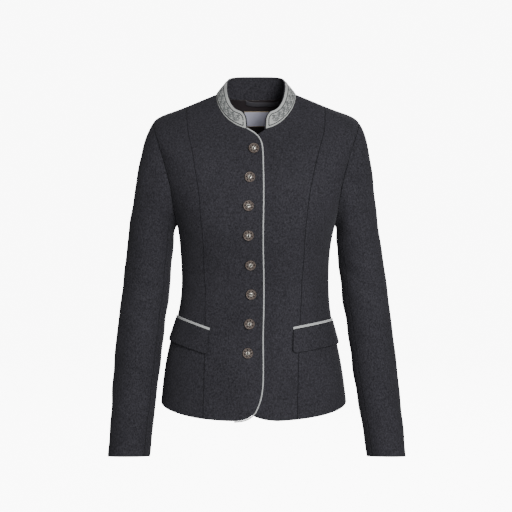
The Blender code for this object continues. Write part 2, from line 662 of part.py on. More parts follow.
def add_neck_lining(collection):
    """The lining behind the tops of the centre backs, the hanger loop and the bare label."""
    lining_lift = -CLOTH - SEAM_GAP
    for side, word in SIDES.items():
        grid = panel_spots(centre_back(side), back_seam(side))[:, ROW_LINING:]
        lifts = np.full(grid.shape[:2], lining_lift)
        name = f"neck_lining_{word}"
        add_on_body(name, grid, lifts, LINING_CLOTH, LINING, collection, "first last top")

    tape_lift = lining_lift - LINING_CLOTH - TAPE_GAP
    heights = np.linspace(LABEL_LOW_Z, LABEL_TOP_Z, LABEL_ROWS + 1)
    ends = LABEL_X - LABEL_HALF_WIDTH, LABEL_X + LABEL_HALF_WIDTH
    places = np.linspace(*ends, LABEL_COLUMNS + 1)
    spots = [[spot(x, z, True) for z in heights] for x in places]
    lifts = np.full((len(places), len(heights)), tape_lift)
    add_on_body("label", spots, lifts, TAPE, WOVEN_LABEL, collection)

    spots, lifts = [], []
    for share in np.linspace(-1, 1, LOOP_COLUMNS + 1):
        hang = 1 - share**LOOP_SQUARE
        top_z = LOOP_TOP_Z - LOOP_SAG * hang
        x = LOOP_X + LOOP_HALF_WIDTH * share
        spots.append([spot(x, z, True) for z in (top_z - LOOP_HEIGHT, top_z)])
        lifts.append([tape_lift - LOOP_STAND_OFF * hang] * 2)
    add_on_body("hanger_loop", spots, np.array(lifts), TAPE, SATIN, collection)


def add_piping(collection):
    """A round cord along the top front's edge, from the hem to the collar."""
    spots = front_edge(RIGHT)[: ROW_COLLAR + 1]
    points = np.array([body(*place) for place in spots])
    facing = np.array([outward(*place) for place in spots])
    run = unit(np.gradient(points, axis=0))
    away = unit(np.cross(run, facing))  # off the edge, towards the wearer's left
    middle = points + away * (PIPING_RADIUS + SEAM_GAP / 2) - facing * PIPING_DEPTH
    middle[-1] -= run[-1] * SEAM_GAP
    curve = bpy.data.curves.new("front_piping", "CURVE")
    curve.dimensions = "3D"
    curve.bevel_depth = PIPING_RADIUS
    curve.bevel_resolution = 2
    curve.use_fill_caps = True
    cord = curve.splines.new("POLY")
    cord.points.add(len(middle) - 1)
    for point, place in zip(cord.points, middle):
        point.co = (*place, 1.0)
    return add_object("front_piping", curve, FELT, collection)


def pocket_edge(side, pocket, share):
    """The angle and the height of a pocket's upper edge, at a share of the way out."""
    start = spot(POCKET_MIDDLE_X + side * POCKET_IN, pocket.in_z)[0]
    angle = start + (side * POCKET_OUT_ANGLE - start) * share
    near, here, far = (math.radians(abs(a)) for a in (start, angle, POCKET_OUT_ANGLE))
    across = (math.sin(here) - math.sin(near)) / (math.sin(far) - math.sin(near))
    bow = math.cos(here) - math.cos(near) - (math.cos(far) - math.cos(near)) * across
    return angle, pocket.in_z + (pocket.out_z - pocket.in_z) * across + POCKET_RISE * bow


def add_pockets(collection):
    for (side, word), pocket in zip(SIDES.items(), POCKETS):
        shares = np.linspace(0, 1, FLAP_COLUMNS + 1)
        edge = [pocket_edge(side, pocket, share) for share in shares]
        width = along([body(angle, level_at(angle, z)) for angle, z in edge])
        spots = [
            [(angle, level_at(angle, z - height)) for height in (WELT_HEIGHT, 0.0)]
            for angle, z in edge
        ]
        lifts = np.full((len(shares), 2), REST_GAP + WELT_CLOTH)
        add_on_body(f"pocket_welt_{word}", spots, lifts, WELT_CLOTH, FELT, collection)

        spots, lifts = [], []
        for share, from_front in zip(shares, width):
            from_end = min(from_front, width[-1] - from_front)
            height = FLAP_HEIGHT - round_drop(from_end, FLAP_CORNER)
            column, lift = [], []
            for row in range(FLAP_ROWS, -1, -1):
                drop = row / FLAP_ROWS
                slant = FLAP_SLANT / width[-1] * drop * (1 - share)
                angle, top_z = pocket_edge(side, pocket, share + slant)
                z = top_z - WELT_HEIGHT - SEAM_GAP - height * drop
                column.append((angle, level_at(angle, z)))
                lift.append(REST_GAP + FLAP_CLOTH + FLAP_LIFT * drop)
            spots.append(column)
            lifts.append(lift)
        add_on_body(
            f"pocket_flap_{word}", spots, np.array(lifts), FLAP_CLOTH, WOOL, collection
        )


def add_buttons(collection):
    """Eight turned buttons, numbered from the collar down."""
    for number, button in enumerate(BUTTONS, start=1):
        name = f"button_{number}"
        data = bpy.data.meshes.new(name)
        profile = [(radius, 0.0, height) for radius, height in BUTTON_PROFILE]
        data.from_pydata(profile, [(i, i + 1) for i in range(len(profile) - 1)], [])
        made = add_object(name, data, HORN, collection)
        place = spot(button.x, button.z)
        made.location = body(*place, button.lift)
        made.rotation_euler = Vector(outward(*place)).to_track_quat("Z", "Y").to_euler()
        turned = made.modifiers.new("Turned", "SCREW")
        turned.steps = turned.render_steps = BUTTON_STEPS
        turned.use_merge_vertices = True
        turned.merge_threshold = 0.00005
        turned.use_smooth_shade = True


def main():
    for old in list(bpy.data.objects):
        bpy.data.objects.remove(old)
    collection = bpy.data.collections.new("Blazer")
    bpy.context.scene.collection.children.link(collection)
    add_body_panels(collection)
    add_sleeves(collection)
    add_collar(collection)
    add_neck_lining(collection)
    add_piping(collection)
    add_pockets(collection)
    add_buttons(collection)


main()
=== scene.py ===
"""A women's stand-collar blazer in the folk-dress style, dressed for its portrait.

Metres, +Z up. The front faces -Y and the wearer's left is +X. Every piece is laid on
the same body surface as the solids: a table of rings, with seams and edges drawn on it.
"""

import math
from collections import namedtuple

import bpy
import numpy as np
from mathutils import Matrix, Vector


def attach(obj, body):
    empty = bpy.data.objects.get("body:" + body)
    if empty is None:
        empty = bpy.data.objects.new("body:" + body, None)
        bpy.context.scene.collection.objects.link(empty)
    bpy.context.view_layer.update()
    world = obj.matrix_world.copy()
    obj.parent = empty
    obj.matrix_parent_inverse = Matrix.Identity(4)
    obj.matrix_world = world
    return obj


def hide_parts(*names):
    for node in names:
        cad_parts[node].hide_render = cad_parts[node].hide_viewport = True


bl_info = {
    "name": "Folk-Dress Blazer",
    "version": (1, 0, 0),
    "blender": (4, 5, 0),
    "location": "View3D > Sidebar > Blazer",
    "description": "A stand-collar wool blazer with felt collar, piped front and flap pockets",
    "category": "Add Mesh",
}

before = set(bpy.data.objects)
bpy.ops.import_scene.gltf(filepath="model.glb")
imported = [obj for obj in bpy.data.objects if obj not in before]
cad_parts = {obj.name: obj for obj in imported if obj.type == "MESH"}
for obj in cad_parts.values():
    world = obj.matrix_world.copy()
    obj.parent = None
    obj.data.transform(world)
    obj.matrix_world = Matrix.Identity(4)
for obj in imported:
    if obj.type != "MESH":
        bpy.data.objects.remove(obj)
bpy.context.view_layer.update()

CLOTH = 0.0020  # wall of the body and sleeves: wool, interlining and lining
COLLAR_CLOTH = 0.0016
LINING_CLOTH = 0.0010
TAPE = 0.0010  # hanger loop and label
SEAM_GAP = 0.0003
REST_GAP = 0.0005  # between a panel and what lies on its outer face
TAPE_GAP = 0.0007  # between the lining and the label or the loop
TUCK = 0.0038  # how deep the under front lies behind the top front's face
TUCK_START, TUCK_FADE = 0.0075, 0.020  # from the top front's edge, and its run out
PIPING_RADIUS = 0.0013
PIPING_DEPTH = 0.0004  # from the cloth's face back to the piping's centre line

# The body's rings, from the hem up. A ring has a height and a depth at the front, at
# the back, and a height at the sides. "square" is its superellipse exponent, and "rise"
# is the power of the cosine by which the height runs from the sides to the middle.
Ring = namedtuple("Ring", "side_z front_z back_z half_width front_y back_y shift square rise")
RINGS = (
    Ring(-0.595, -0.605, -0.594, 0.1810, -0.130, 0.130, -0.0045, 2.30, 1.60),  # hem
    Ring(-0.540, -0.546, -0.540, 0.1742, -0.124, 0.123, -0.0050, 2.30, 1.60),
    Ring(-0.480, -0.483, -0.480, 0.1625, -0.116, 0.111, -0.0050, 2.25, 1.60),  # hip
    Ring(-0.420, -0.421, -0.420, 0.1478, -0.109, 0.096, -0.0030, 2.25, 1.60),
    Ring(-0.360, -0.361, -0.360, 0.1420, -0.108, 0.084, -0.0015, 2.25, 1.60),  # waist
    Ring(-0.300, -0.303, -0.300, 0.1440, -0.119, 0.087, -0.0015, 2.30, 1.60),
    Ring(-0.250, -0.258, -0.250, 0.1510, -0.131, 0.093, 0.000, 2.35, 1.60),  # bust
    Ring(-0.200, -0.224, -0.203, 0.1660, -0.131, 0.098, 0.000, 2.35, 1.55),
    Ring(-0.150, -0.194, -0.162, 0.1810, -0.125, 0.099, 0.000, 2.30, 1.50),
    Ring(-0.100, -0.166, -0.127, 0.1915, -0.117, 0.096, 0.000, 2.30, 1.45),
    Ring(-0.0535, -0.137, -0.093, 0.1958, -0.108, 0.091, 0.000, 2.30, 1.40),  # shoulder tip
    Ring(-0.032, -0.110, -0.064, 0.1560, -0.096, 0.083, 0.000, 2.25, 1.35),
    Ring(-0.016, -0.086, -0.038, 0.1150, -0.082, 0.073, 0.000, 2.20, 1.25),
    Ring(0.000, -0.062, -0.012, 0.0760, -0.066, 0.060, 0.000, 2.20, 1.15),  # neck seam
)
SHOULDER_TIP_RING = 10

# Lines drawn on the body as (x, z) points, from the hem up.
RIGHT_FRONT_EDGE = (
    (-0.0410, -0.6040), (-0.0185, -0.6000), (-0.0065, -0.5920), (0.0030, -0.5760),
    (0.0100, -0.5500), (0.0122, -0.5180), (0.0118, -0.4570), (0.0128, -0.4000),
    (0.0131, -0.3400), (0.0117, -0.2560), (0.0127, -0.1600), (0.0119, -0.1200),
    (0.0105, -0.0940), (0.0080, -0.0830),
    (0.0033, -0.0750), (-0.0035, -0.0690), (-0.0110, -0.0645), (-0.0186, -0.0604),
)
LEFT_FRONT_EDGE = (
    (0.0400, -0.6040), (0.0110, -0.6000), (-0.0050, -0.5945), (-0.0180, -0.5830),
    (-0.0280, -0.5600), (-0.0335, -0.5250), (-0.0340, -0.4000), (-0.0340, -0.2560),
    (-0.0330, -0.1700), (-0.0290, -0.1300), (-0.0220, -0.1020), (-0.0130, -0.0840),
    (-0.0040, -0.0735), (0.0045, -0.0675), (0.0115, -0.0640), (0.0186, -0.0604),
)
RIGHT_FRONT_SEAM = (
    (-0.1000, -0.6030), (-0.0970, -0.4870), (-0.0960, -0.3770), (-0.0975, -0.3190),
    (-0.0990, -0.2610), (-0.1030, -0.2100), (-0.1070, -0.1680), (-0.1130, -0.1300),
    (-0.1200, -0.0930), (-0.1260, -0.0700), (-0.1310, -0.0220),
)
LEFT_FRONT_SEAM = (
    (0.0780, -0.6030), (0.0800, -0.4870), (0.0850, -0.3770), (0.0880, -0.3190),
    (0.0910, -0.2610), (0.0950, -0.2100), (0.1010, -0.1680), (0.1090, -0.1300),
    (0.1190, -0.0930), (0.1260, -0.0700), (0.1310, -0.0220),
)
BACK_SEAM = (  # on the wearer's left, and mirrored on the right
    (0.0920, -0.5940), (0.0820, -0.5000), (0.0740, -0.4300), (0.0710, -0.3700),
    (0.0740, -0.3200), (0.0820, -0.2600), (0.0920, -0.2000), (0.1040, -0.1400),
    (0.1180, -0.0850), (0.1310, -0.0220),
)
ARMHOLE_FRONT = (
    (0.1510, -0.2500), (0.1530, -0.2280), (0.1555, -0.2050), (0.1590, -0.1770),
    (0.1650, -0.1490), (0.1720, -0.1240), (0.1795, -0.1010), (0.1880, -0.0750),
    (0.1958, -0.0535),
)
ARMHOLE_BACK = (
    (0.1510, -0.2500), (0.1522, -0.2280), (0.1542, -0.2050), (0.1580, -0.1800),
    (0.1640, -0.1550), (0.1715, -0.1280), (0.1795, -0.1010), (0.1885, -0.0740),
    (0.1958, -0.0535),
)
Turn = namedtuple("Turn", "z angle")
SIDE_SEAM = (Turn(-0.595, 104.0), Turn(-0.430, 102.0), Turn(-0.330, 99.0), Turn(-0.250, 90.0))
FINE_STEPS = 90  # samples along a drawn line

# Rows of a body panel. A line meets each of these rows at the height beside it.
ROW_HIP, ROW_BUST, ROW_CHEST, ROW_COLLAR, ROW_TOP = 4, 13, 16, 20, 26
ROW_LINING = 16  # the lining that shows starts here
HIP_Z, BUST_Z, CHEST_Z = -0.530, -0.256, -0.120
COLLAR_END_X, COLLAR_END_Z = 0.0186, -0.0604  # foot of the collar's front ends

# The sleeves' sections, from the upper arm to the cuff: the outer and inner edges as
# seen from the front, the middle's y, half the depth, and how much the front is raised
# for each metre it lies forward.
Section = namedtuple("Section", "z right_outer right_inner left_outer left_inner y half_depth tilt")
SECTIONS = (
    Section(-0.285, 0.2478, 0.1582, 0.2403, 0.1542, 0.003, 0.0598, 0.00),  # upper arm
    Section(-0.340, 0.2553, 0.1637, 0.2493, 0.1612, 0.007, 0.0568, 0.00),
    Section(-0.400, 0.2623, 0.1707, 0.2583, 0.1692, 0.007, 0.0543, 0.04),  # elbow
    Section(-0.460, 0.2708, 0.1782, 0.2663, 0.1782, 0.000, 0.0518, 0.10),
    Section(-0.520, 0.2758, 0.1857, 0.2730, 0.1862, -0.010, 0.0493, 0.16),
    Section(-0.580, 0.2798, 0.1927, 0.2796, 0.1962, -0.022, 0.0473, 0.20),
    Section(-0.640, 0.2830, 0.1997, 0.2860, 0.2062, -0.034, 0.0458, 0.24),
    Section(-0.696, 0.2866, 0.2055, 0.2896, 0.2142, -0.045, 0.0448, 0.26),  # cuff
)
SLEEVE_SQUARE = 2.15
CAP_ROWS, ARM_ROWS = 7, 9
CAP_CROWDING = 1.25  # crowds the cap's rows towards the armhole
FRONT_SLEEVE_SEAM, BACK_SLEEVE_SEAM = 10, 18  # armhole steps from the tip, by the front
TIP_TURN, UNDERARM_TURN = 8.0, 125.0  # from the body's face to the sleeve's, outwards
TURN_POWER = 0.8
TIP_PULL, UNDERARM_PULL = 0.090, 0.035  # how far the cap keeps its first direction

# Soft troughs, with a negative height, and ridges. Turn 0 runs across the body.
Fold = namedtuple("Fold", "x z back turn length width height")
BODY_FOLDS = (
    Fold(-0.118, -0.368, False, 8, 0.060, 0.018, -0.0024),
    Fold(0.112, -0.355, False, -10, 0.056, 0.017, -0.0022),
    Fold(-0.114, -0.300, False, 48, 0.056, 0.016, -0.0018),
    Fold(0.112, -0.292, False, -46, 0.052, 0.016, -0.0018),
    Fold(-0.060, -0.372, True, 24, 0.075, 0.018, -0.0030),
    Fold(0.056, -0.380, True, -22, 0.080, 0.018, -0.0030),
    Fold(-0.072, -0.325, True, 32, 0.060, 0.016, -0.0024),
    Fold(0.070, -0.332, True, -34, 0.062, 0.016, -0.0024),
)
# On a sleeve a fold lies at an angle from the outer side, where 90 is the front.
SleeveFold = namedtuple("SleeveFold", "angle z turn length width height")
SLEEVE_FOLDS = (
    SleeveFold(78, -0.372, 24, 0.060, 0.017, -0.0026),
    SleeveFold(100, -0.415, -20, 0.055, 0.017, -0.0028),
    SleeveFold(118, -0.340, 28, 0.050, 0.016, -0.0022),
    SleeveFold(250, -0.395, 10, 0.060, 0.020, 0.0022),
    SleeveFold(42, -0.500, 84, 0.130, 0.020, -0.0018),
)

# The collar's upper edge: its height at angles from the centre front, and its ring.
Edge = namedtuple("Edge", "angle z")
COLLAR_TOP = (
    Edge(0, -0.0290), Edge(30, -0.0265), Edge(50, -0.0160), Edge(70, 0.0010),
    Edge(90, 0.0185), Edge(110, 0.0275), Edge(140, 0.0310), Edge(180, 0.0315),
)
COLLAR_HALF_WIDTH, COLLAR_FRONT_Y, COLLAR_BACK_Y, COLLAR_SQUARE = 0.0560, -0.0575, 0.0520, 2.9
COLLAR_BOW = 0.0022  # how far the collar bows out between its edges
COLLAR_DEPTH_SHARE = 1.2  # turns the bow's way out towards the front and the back
COLLAR_CORNER = 0.017  # radius of the round corner at each front end

POCKET_MIDDLE_X, POCKET_IN = -0.0083, 0.0777  # button line, and from it to the flap
POCKET_OUT_ANGLE = 86.4
POCKET_RISE = 0.019  # of the edge's middle, so that it looks straight from the front
# The heights of each pocket's upper edge, on the wearer's right and then on the left.
Pocket = namedtuple("Pocket", "in_z out_z")
POCKETS = (Pocket(-0.4318, -0.4236), Pocket(-0.4295, -0.4300))
WELT_HEIGHT, WELT_CLOTH = 0.0046, 0.0018
FLAP_HEIGHT, FLAP_CLOTH, FLAP_CORNER, FLAP_SLANT, FLAP_LIFT = 0.0445, 0.0022, 0.009, -0.0045, 0.0020

BUTTON_RADIUS = 0.0097
# The lift seats a button's back on the cloth, whose wall is flat between its rows.
Button = namedtuple("Button", "x z lift")
BUTTONS = (
    Button(-0.0039, -0.0963, 0.0007), Button(-0.0112, -0.1468, 0.0002),
    Button(-0.0136, -0.1983, 0.0000), Button(-0.0136, -0.2518, 0.0004),
    Button(-0.0100, -0.3088, 0.0009), Button(-0.0090, -0.3658, 0.0009),
    Button(-0.0120, -0.4218, 0.0009), Button(-0.0152, -0.4763, 0.0008),
)

LOOP_X, LOOP_HALF_WIDTH, LOOP_HEIGHT = 0.0130, 0.0330, 0.0080
LOOP_TOP_Z, LOOP_SAG, LOOP_STAND_OFF = -0.0118, 0.0032, 0.0020
LOOP_SQUARE = 4  # the power by which the loop hangs flat in its middle
LABEL_X, LABEL_HALF_WIDTH, LABEL_TOP_Z, LABEL_LOW_Z = 0.0012, 0.0245, -0.0338, -0.0646
LABEL_BORDER = 0.0013

FINE = 4  # rows here for each row of the solids
ROW_LENGTH = 0.0220  # of a panel, on average
# Painted shade: the wool's colour is darkened towards the near-black colour below, along each seam and
# round the pocket flaps' edges, with this strength and reach.
SEAM_SHADE, SEAM_SHADE_REACH, FLAP_SHADE_REACH = 0.66, 0.0012, 0.0012
PAINTED_SHADE_COLOUR = (0.0045, 0.0043, 0.0052)
RIM = (0.0, 0.0002, 0.0005, 0.0010, 0.0017, 0.0027, 0.0042)  # close rows at an edge
NARROW = 0.016  # a strip narrower than this has its edge rows closer still
RIGHT, LEFT = -1, 1  # the sign of x on the wearer's side
SIDES = {RIGHT: "right", LEFT: "left"}
SLOPE_ANGLE, SLOPE_LEVEL = 3.0, 0.008  # the reach over which the body's face is averaged

# A slow unevenness of worn cloth: how high, and how many turns in a metre each way.
Wave = namedtuple("Wave", "height x y z phase")
WAVES = (
    Wave(0.00035, 9.0, 4.0, 6.0, 0.3),
    Wave(0.00030, -5.0, 7.0, 13.0, 1.9),
    Wave(0.00022, 14.0, -6.0, 17.0, 4.1),
    Wave(0.00016, -23.0, 9.0, 11.0, 2.7),
)


def spline(knots, values):
    """A natural cubic spline through rows of values at the knots, as a function of arrays."""
    knots, values = np.asarray(knots, float), np.asarray(values, float)
    gaps = np.diff(knots)
    slopes = (np.diff(values, axis=0).T / gaps).T
    system = np.eye(len(knots))
    right = np.zeros_like(values)
    for i in range(1, len(knots) - 1):
        system[i, i - 1 : i + 2] = gaps[i - 1], 2 * (gaps[i - 1] + gaps[i]), gaps[i]
        right[i] = 6 * (slopes[i] - slopes[i - 1])
    bends = np.linalg.solve(system, right)

    def values_at(knot):
        knot = np.asarray(knot, float)
        i = np.clip(np.searchsorted(knots, knot) - 1, 0, len(gaps) - 1)
        before, after = (knot - knots[i])[..., None], (knots[i + 1] - knot)[..., None]
        gap = gaps[i][..., None]
        return (
            (bends[i] * after**3 + bends[i + 1] * before**3) / (6 * gap)
            + (values[i] / gap - bends[i] * gap / 6) * after
            + (values[i + 1] / gap - bends[i + 1] * gap / 6) * before
        )

    return values_at


def along(points):
    """Distances along a line of points, from 0. Further axes are lines of their own."""
    steps = np.linalg.norm(np.diff(np.asarray(points, float), axis=0), axis=-1)
    return np.concatenate([np.zeros_like(steps[:1]), np.cumsum(steps, axis=0)])


def unit(vectors):
    return vectors / np.linalg.norm(vectors, axis=-1, keepdims=True)


def ease(share):
    """0 to 1 with no kink at either end."""
    share = np.clip(share, 0.0, 1.0)
    return share * share * (3 - 2 * share)


def power(value, exponent):
    return np.sign(value) * np.abs(value) ** exponent


def round_drop(distance, radius):
    """How far a round edge or corner drops at this distance from its end."""
    left = radius - np.clip(distance, 0.0, radius)
    return radius - np.sqrt(radius**2 - left**2)


def turned_height(fold, across, up):
    """A fold's height at a place given from its middle."""
    turn = math.radians(fold.turn)
    length = (across * math.cos(turn) + up * math.sin(turn)) / fold.length
    width = (up * math.cos(turn) - across * math.sin(turn)) / fold.width
    return fold.height * np.exp(-2 * (length**2 + width**2))


def ring_levels():
    """Each ring's level, spaced as the rings are at the front, side and back."""
    lines = (
        [(0.0, ring.front_y, ring.front_z) for ring in RINGS],
        [(ring.half_width, 0.0, ring.side_z) for ring in RINGS],
        [(0.0, ring.back_y, ring.back_z) for ring in RINGS],
    )
    spacing = sum(along(line) for line in lines)
    return spacing / spacing[-1]


LEVELS = ring_levels()
ring_values = spline(LEVELS, RINGS)


def bare_body(angle, level):
    """The body's outer face without its folds: angle 0 is the front and 90 the left side."""
    ring = Ring(*np.moveaxis(ring_values(level), -1, 0))
    sine, cosine = np.sin(np.radians(angle)), np.cos(np.radians(angle))
    at_front = cosine > 0
    far_y = np.where(at_front, ring.front_y, ring.back_y)
    far_z = np.where(at_front, ring.front_z, ring.back_z)
    x = ring.shift + ring.half_width * power(sine, 2 / ring.square)
    y = far_y * np.abs(cosine) ** (2 / ring.square)
    z = ring.side_z + (far_z - ring.side_z) * np.abs(cosine) ** ring.rise
    return np.stack([x, y, z], axis=-1)


def outward(angle, level):
    """The direction out of the body."""
    around = bare_body(angle + SLOPE_ANGLE, level) - bare_body(angle - SLOPE_ANGLE, level)
    above, below = np.minimum(level + SLOPE_LEVEL, 1.0), np.maximum(level - SLOPE_LEVEL, 0.0)
    return unit(np.cross(around, bare_body(angle, above) - bare_body(angle, below)))


def unevenness(points):
    x, y, z = np.moveaxis(points, -1, 0)
    return sum(
        wave.height * np.sin(math.tau * (wave.x * x + wave.y * y + wave.z * z) + wave.phase)
        for wave in WAVES
    )


def body(angle, level, lift=0.0):
    """Points of the body's outer face, moved out by the lift."""
    points = bare_body(angle, level)
    cosine = np.cos(np.radians(angle))
    fade = ease(2 * np.abs(cosine))  # no fold reaches the sides
    lift = lift + fade * unevenness(points)
    for fold in BODY_FOLDS:
        here = fold.back == (cosine < 0)
        across, up = points[..., 0] - fold.x, points[..., 2] - fold.z
        lift = lift + here * fade * turned_height(fold, across, up)
    return points + outward(angle, level) * np.asarray(lift)[..., None]


def halving(height_at, z):
    """The level at which a height that grows with the level reaches z."""
    z = np.asarray(z, float)
    low, high = np.zeros_like(z), np.ones_like(z)
    for _ in range(26):
        middle = (low + high) / 2
        below = height_at(middle) < z
        low, high = np.where(below, middle, low), np.where(below, high, middle)
    return (low + high) / 2


def level_at(angle, z):
    return halving(lambda level: bare_body(angle, level)[..., 2], z)


def spot(x, z, is_back=False):
    """The angle and level seen at x, z from the front or the back."""
    x, z = np.broadcast_arrays(np.asarray(x, float), np.asarray(z, float))

    def angle_at(level):
        ring = Ring(*np.moveaxis(ring_values(level), -1, 0))
        share = np.minimum(np.abs(x - ring.shift) / ring.half_width, 1.0)
        angle = np.degrees(np.arcsin(share ** (ring.square / 2)))
        return np.copysign(180 - angle if is_back else angle, x - ring.shift)

    level = halving(lambda level: bare_body(angle_at(level), level)[..., 2], z)
    return np.stack([angle_at(level), level], axis=-1)


def drawn(line):
    """A drawn line as a fine row of points, on a smooth curve."""
    lengths = along(line)
    return spline(lengths, line)(np.linspace(0, lengths[-1], 6 * FINE_STEPS + 1))


def spots_along(line, pins, rows, is_back=False):
    """A line's spots at these rows, even between the pins of row and height."""
    points = drawn(line)
    spots = spot(points[:, 0], points[:, 1], is_back)
    travelled = along(bare_body(spots[:, 0], spots[:, 1]))
    pin_rows, heights = zip(*pins)
    wanted = np.interp(rows, pin_rows, np.interp(heights, points[:, 1], travelled))
    return np.stack([np.interp(wanted, travelled, spots[:, i]) for i in (0, 1)], axis=-1)


def mirrored(line):
    return tuple((-x, z) for x, z in line)


def with_neck(spots, rows, first_angle, last_angle):
    """The same spots, but along the neck seam from its foot at the row of the collar on."""
    share = (rows - ROW_COLLAR) / (ROW_TOP - ROW_COLLAR)
    angle = first_angle + (last_angle - first_angle) * share
    neck = np.stack([angle, np.ones_like(angle)], axis=-1)
    return np.where((share >= 0)[:, None], neck, spots)


def collar_end(side):
    return spot(COLLAR_END_X * side, COLLAR_END_Z)[0]


def front_edge(side, rows):
    """The front edge's spots up to the collar, and on along the neck to the shoulder."""
    line = RIGHT_FRONT_EDGE if side == RIGHT else LEFT_FRONT_EDGE
    pins = (
        (0, line[0][1]), (ROW_HIP, HIP_Z), (ROW_BUST, BUST_Z), (ROW_CHEST, CHEST_Z),
        (ROW_COLLAR, line[-1][1]),
    )
    return with_neck(spots_along(line, pins, rows), rows, collar_end(side), 90.0 * side)


def shaped_seam(line, side, rows, is_back=False):
    """A seam over the bust or the shoulder blade, up to the shoulder seam."""
    pins = ((0, line[0][1]), (ROW_HIP, HIP_Z), (ROW_BUST, BUST_Z), (ROW_TOP, line[-1][1]))
    spots = spots_along(line, pins, rows, is_back)
    spots[rows >= ROW_TOP, 0] = 90.0 * side
    return spots


def front_seam(side, rows):
    return shaped_seam(RIGHT_FRONT_SEAM if side == RIGHT else LEFT_FRONT_SEAM, side, rows)


def back_seam(side, rows):
    line = BACK_SEAM if side == LEFT else mirrored(BACK_SEAM)
    return shaped_seam(line, side, rows, True)


def centre_back(side, rows):
    """The centre back seam's spots, and on along the neck to the shoulder."""
    pins = (0, ROW_HIP, ROW_BUST, ROW_COLLAR)
    heights = np.interp(rows, pins, (RINGS[0].back_z, HIP_Z, BUST_Z, RINGS[-1].back_z))
    level = level_at(180.0, heights)
    seam = np.stack([np.full_like(level, 180.0 * side), level], axis=-1)
    return with_neck(seam, rows, 180.0 * side, 90.0 * side)


def side_line(side, is_back, rows):
    """The side seam's spots up to the underarm, and on along the armhole."""
    line = ARMHOLE_BACK if is_back else ARMHOLE_FRONT
    pins = (0, ROW_HIP, ROW_BUST)
    z = np.interp(rows, pins, (RINGS[0].side_z, HIP_Z, SIDE_SEAM[-1].z))
    angle = np.interp(z, [turn.z for turn in SIDE_SEAM], [turn.angle for turn in SIDE_SEAM])
    seam = np.stack([angle * side, level_at(angle, z)], axis=-1)
    hole = spots_along(line, ((ROW_BUST, line[0][1]), (ROW_TOP, line[-1][1])), rows, is_back)
    hole[rows >= ROW_TOP] = 90.0, LEVELS[SHOULDER_TIP_RING]
    hole[:, 0] *= side
    return np.where((rows <= ROW_BUST)[:, None], seam, hole)


def shaped(first, last, count):
    """Stations from one end to the other, close together at both ends."""
    rim = np.array(RIM) * min(1.0, (last - first) / NARROW)
    middle = np.linspace(first + rim[-1], last - rim[-1], count)
    return np.concatenate([first + rim[:-1], middle, (last - rim[:-1])[::-1]])


def edge_rows(first, last, step, count):
    """Rows from first to last, close together at both ends, where a row is a step long."""
    return shaped(first * step, last * step, count) / step


def panel_rows(first, count):
    """A body panel's rows up to the shoulder, with one on the corner at the collar."""
    rows = edge_rows(first, ROW_TOP, ROW_LENGTH, count)
    rows[np.abs(rows - ROW_COLLAR).argmin()] = ROW_COLLAR
    return rows


class Value:
    """One output of a shader node, usable in an expression."""

    def __init__(self, paint, link):
        self.paint, self.link = paint, link

    def math(self, operation, *values):
        return self.paint.node("Math", {"operation": operation}, dict(enumerate(values)))

    def __add__(self, other):
        return self.math("ADD", self, other)

    def __sub__(self, other):
        return self.math("SUBTRACT", self, other)

    def __rsub__(self, other):
        return self.math("SUBTRACT", other, self)

    def __mul__(self, other):
        return self.math("MULTIPLY", self, other)

    def __truediv__(self, other):
        return self.math("DIVIDE", self, other)

    def __pow__(self, other):
        return self.math("POWER", self, other)

    def __gt__(self, other):
        return self.math("GREATER_THAN", self, other)

    def __lt__(self, other):
        return self.math("LESS_THAN", self, other)

    __radd__, __rmul__ = __add__, __mul__


class Paint:
    """A material under construction."""

    def __init__(self, name, **uniform):
        self.material = bpy.data.materials.new(name)
        self.material.use_nodes = True
        self.tree = self.material.node_tree
        self.shader = self.tree.nodes["Principled BSDF"]
        for socket, value in uniform.items():
            self.shader.inputs[socket.replace("_", " ")].default_value = value

    def node(self, kind, settings=None, inputs=None, output=0):
        made = self.tree.nodes.new("ShaderNode" + kind)
        for name, value in (settings or {}).items():
            if name == "stops":
                ramp = made.color_ramp
                for stop, (place, colour) in enumerate(value):
                    if stop < len(ramp.elements):
                        ramp.elements[stop].position = place
                    else:
                        ramp.elements.new(place)
                    ramp.elements[stop].color = (*colour, 1.0)
            else:
                setattr(made, name, value)
        for name, value in (inputs or {}).items():
            self.feed(made.inputs[name], value)
        return Value(self, made.outputs[output])

    def feed(self, socket, value):
        if isinstance(value, Value):
            self.tree.links.new(value.link, socket)
        else:
            socket.default_value = value

    def noise(self, vector, scale, detail=2.0, roughness=0.5, output=0):
        inputs = {"Vector": vector, "Scale": scale, "Detail": detail, "Roughness": roughness}
        return self.node("TexNoise", None, inputs, output)

    def mix(self, factor, first, second):
        kind = {"data_type": "RGBA"}
        first, second = (
            (*colour, 1.0) if isinstance(colour, tuple) and len(colour) == 3 else colour
            for colour in (first, second)
        )
        return self.node("Mix", kind, {0: factor, 6: first, 7: second}, 2)

    def place(self, stretch=(1.0, 1.0, 1.0), source="Object", turn=0.0):
        vector = self.node("TexCoord", None, None, source)
        settings = {"Vector": vector, "Scale": stretch, "Rotation": (0.0, 0.0, turn)}
        return self.node("Mapping", None, settings)

    def finish(self, **varying):
        for socket, value in varying.items():
            self.feed(self.shader.inputs[socket.replace("_", " ")], value)
        return self.material

    def bump(self, height, distance, strength=1.0):
        inputs = {"Height": height, "Distance": distance, "Strength": strength}
        return self.node("Bump", None, inputs)


